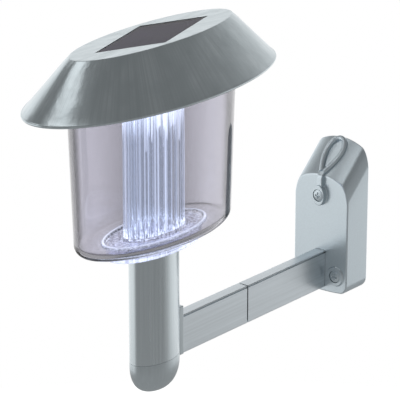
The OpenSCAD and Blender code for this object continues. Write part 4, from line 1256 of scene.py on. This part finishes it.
class FENCELIGHT_OT_screws(bpy.types.Operator):
    """Every visible and hidden screw, the two nuts and the cell's spring"""

    bl_idname = "fencelight.screws"
    bl_label = "Screws and spring"

    def execute(self, context):
        from_z = Vector((0, 0, 1))
        up, inward, across = (from_z.rotation_difference(Vector(axis)).to_matrix().to_4x4()
                              for axis in ((0, 0, 1), (0, 1, 0), (-1, 0, 0)))
        s, k = mm("bracket"), mm("screws")
        front = -s.depth
        places = [(0, front - s.boss_out + k.sink, s.boss_z)]
        places += [(x, front - s.low_out + k.sink, s.low_z) for x in (-s.low_x, s.low_x)]
        screw = (k.cover_shank, k.cover_head, k.pan, k.cover_long)
        set_screws("cover_screws_dressed", places, inward, screw, "cover_screws", "wall_bracket", "silver")
        reach, head = mm("post").reach, mm("head")
        base_z = head.rim_z + head.sheet
        places = [(x, y - reach, base_z) for x in (-k.head_x, k.head_x) for y in (-k.head_y, k.head_y)]
        screw = (k.head_shank, k.head_head, k.pan, k.head_long)
        set_screws("head_screws_dressed", places, up, screw, "head_screws", "head")
        low, high = (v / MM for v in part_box("arm_screws"))
        middle = (low.z + high.z) / 2
        places = [(0, low.y + k.post_pan, middle + dz) for dz in (-k.post_z, k.post_z)]
        screw = (k.post_shank, k.post_head, k.post_pan, k.post_long)
        set_screws("post_screws", places, inward, screw, "arm_screws", "lamp_arm")
        low, high = (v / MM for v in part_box("arm_bolts"))
        x, y, z = high.x - k.cross_pan, (low.y + high.y) / 2, (low.z + high.z) / 2
        places = [(x, y, z + dz) for dz in (-k.cross_z, k.cross_z)]
        screw = (k.cross_shank, k.cross_head, k.cross_pan, high.x - low.x - k.cross_pan)
        set_screws("cross_screws", places, across, screw, "arm_bolts", "wall_bracket")
        refined("arm_nuts", "cross_screw_nuts", "zinc", "wall_bracket", 0.1)
        low, high = (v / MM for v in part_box("battery_spring"))
        middle = (low + high) / 2
        coils, steps = 5, 28
        path = []
        for t in np.arange(coils * steps + 1) / (coils * steps):
            angle, r = 2 * math.pi * coils * t, 2.6 + 0.8 * t
            y = low.y + 0.3 + (high.y - low.y - 0.9) * t
            path.append((middle.x + r * math.cos(angle), y, middle.z + r * math.sin(angle)))
        coil = rod_along("coil", path, 0.28)
        corners, ends = [(-4, -4), (4, -4), (4, 4), (-4, 4)], (high.y - 0.4, high.y)
        back = prism("plate", corners, lambda x, z, y: (middle.x + x, y, middle.z + z), ends)
        dressed(joined("cell_spring", [coil, back]), "nickel", ["battery_spring"], "head")
        return {"FINISHED"}


class FENCELIGHT_OT_stage(bpy.types.Operator):
    """Pale floor, soft lamps, white surroundings and the camera"""

    bl_idname = "fencelight.stage"
    bl_label = "Studio"

    def execute(self, context):
        studio = values().studio
        self.world(studio)
        self.floor(studio)
        self.lamp("key_lamp", (0.026, -0.165, 0.43), 0.2, studio.key)
        self.lamp("slope_lamp", (-0.275, -0.065, 0.435), 0.12, studio.slope)
        camera = bpy.data.cameras.new("camera")
        camera.lens, camera.sensor_width = studio.focal, 36
        camera.clip_start, camera.clip_end = 0.05, 20
        eye = placed("camera", camera)
        a, e = studio.azimuth, studio.elevation
        back = Vector((math.sin(a) * math.cos(e), -math.cos(a) * math.cos(e), math.sin(e)))
        aim = mm("studio")
        eye.location = Vector((0, aim.aim_y, aim.aim_z)) * MM + back * studio.distance
        eye.rotation_mode = "QUATERNION"
        eye.rotation_quaternion = (-back).to_track_quat("-Z", "Y")
        bpy.context.scene.camera = eye
        bpy.context.scene.view_settings.view_transform = "Standard"
        return {"FINISHED"}

    def lamp(self, name, place, size, power):
        """A square soft lamp that looks at the light."""
        made = bpy.data.lights.new(name, "AREA")
        made.shape, made.size, made.energy = "SQUARE", size, power
        holder = placed(name, made)
        aim = Vector((0, -0.12, 0.04))
        holder.location = aim + Vector(place)
        holder.rotation_euler = (-Vector(place)).to_track_quat("-Z", "Y").to_euler()

    def world(self, studio):
        """White to the eye and through glass; metal mirrors a white room, darker in front and above."""
        world = bpy.data.worlds.new("studio")
        bpy.context.scene.world = world
        world.use_nodes = True
        tree = world.node_tree
        tree.nodes.clear()
        way = add(tree, "TexCoord").outputs["Generated"]
        parts = add(tree, "SeparateXYZ", (way,))
        flat = add(tree, "CombineXYZ", (parts.outputs["X"], parts.outputs["Y"]))
        level_way = add(tree, "VectorMath", (flat,), operation="NORMALIZE")
        shares = []
        # the room's white sides by their angle, and where dark turns to white: one below the level, two above
        for angle, dark_from, white_from in ((150, -0.47, 0.09), (141, 0.16, 1.16), (234, 0.86, 0.98)):
            to_side = (math.cos(math.radians(angle)), math.sin(math.radians(angle)), 0)
            side = add(tree, "VectorMath", (level_way, to_side), operation="DOT_PRODUCT")
            shares.append(add(tree, "MapRange", (side.outputs["Value"], dark_from, white_from), **SMOOTH))
        # the sides fade out overhead, where the room is a soft grey
        rise = add(tree, "MapRange", (parts.outputs["Z"], -0.15, 0.05))
        upper = add(tree, "Math", (shares[1], shares[2]), operation="MAXIMUM")
        back_share = add(tree, "Mix", (rise, shares[0], upper), data_type="FLOAT")
        high = add(tree, "Math", (parts.outputs["Z"],), operation="ABSOLUTE")
        low_share = add(tree, "MapRange", (high, 0.53, 0.4), **SMOOTH)
        share = add(tree, "Math", (back_share, low_share), operation="MULTIPLY")
        shades = (studio.shade * 1.35, studio.shade * 0.85)
        above = add(tree, "MapRange", (parts.outputs["Z"], 0.2, 0.6, *shades))
        bright = add(tree, "MapRange", (rise, 0.0, 1.0, studio.bright, studio.bright * 1.08))
        mirror = add(tree, "Mix", (share, above, bright), data_type="FLOAT")
        ray, seen = rays(tree, "Camera", "Transmission")
        lit = add(tree, "Mix", (ray.outputs["Is Glossy Ray"], studio.fill, mirror), data_type="FLOAT")
        strength = add(tree, "Mix", (seen, lit, 1.0), data_type="FLOAT")
        ground = add(tree, "Background", ((1, 1, 1, 1), strength))
        add(tree, "OutputWorld", (ground,))

    def floor(self, studio):
        """A round pale floor that looks white to the eye and takes the light's shadow."""
        r, middle_y, thick, top = 1200, -120, 10, studio.floor_z / MM
        turn = arc(0, 360, 96)[:-1]
        rings = [[(r * math.cos(a), middle_y + r * math.sin(a), z) for a in turn] for z in (top - thick, top)]
        floor = loft("floor", rings)
        made, tree = start("pale studio floor")
        ray, seen = rays(tree, "Camera", "Transmission")
        lift = add(tree, "Math", (seen, 0.45), operation="MULTIPLY")
        glow = add(tree, "Emission", ((1, 1, 1, 1), lift))
        paint = add(tree, "BsdfDiffuse", (rgba(to_linear("F6F7F8")),))
        both = add(tree, "AddShader", (glow, paint))
        dim = add(tree, "Emission", ((1, 1, 1, 1), studio.shade * 1.6))
        mirrored = add(tree, "MixShader", (ray.outputs["Is Glossy Ray"], both, dim))
        add(tree, "OutputMaterial", (mirrored,))
        floor.data.materials.append(made)


class FENCELIGHT_OT_finishes(bpy.types.Operator):
    """Makes every finish again from the colours"""

    bl_idname = "fencelight.finishes"
    bl_label = "Finishes"

    def execute(self, context):
        FINISH.update(finishes())
        return {"FINISHED"}


OPERATORS = [
    FENCELIGHT_OT_finishes, FENCELIGHT_OT_roof, FENCELIGHT_OT_panel, FENCELIGHT_OT_head_inside,
    FENCELIGHT_OT_diode,
    FENCELIGHT_OT_lens, FENCELIGHT_OT_post, FENCELIGHT_OT_arm, FENCELIGHT_OT_bracket, FENCELIGHT_OT_screws,
    FENCELIGHT_OT_stage,
]


class FENCELIGHT_PT_panel(bpy.types.Panel):
    """Lists the light's groups of pieces and their values"""

    bl_idname = "FENCELIGHT_PT_panel"
    bl_label = "Fence light"
    bl_space_type = "VIEW_3D"
    bl_region_type = "UI"
    bl_category = "Fence light"

    def draw(self, context):
        for operator in OPERATORS:
            self.layout.operator(operator.bl_idname)
        for name in ("head", "lens", "post", "arm", "bracket", "screws", "colours", "studio"):
            group = getattr(values(), name)
            box = self.layout.box()
            for prop in group.bl_rna.properties:
                if prop.identifier not in ("rna_type", "name"):
                    box.prop(group, prop.identifier)


CLASSES = [
    HeadSizes, LensSizes, PostSizes, ArmSizes, BracketSizes, ScrewSizes, FinishColours, Studio, FenceLight,
    *OPERATORS, FENCELIGHT_PT_panel,
]


def register():
    """Adds the classes and the scene's values."""
    for made in CLASSES:
        bpy.utils.register_class(made)
    bpy.types.Scene.fence_light = PointerProperty(type=FenceLight)


def unregister():
    """Takes the classes and the values away again."""
    del bpy.types.Scene.fence_light
    for made in reversed(CLASSES):
        bpy.utils.unregister_class(made)


def main():
    """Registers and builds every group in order."""
    register()
    for operator in OPERATORS:
        getattr(bpy.ops.fencelight, operator.bl_idname.split(".")[1])()


if __name__ == "__main__":
    main()
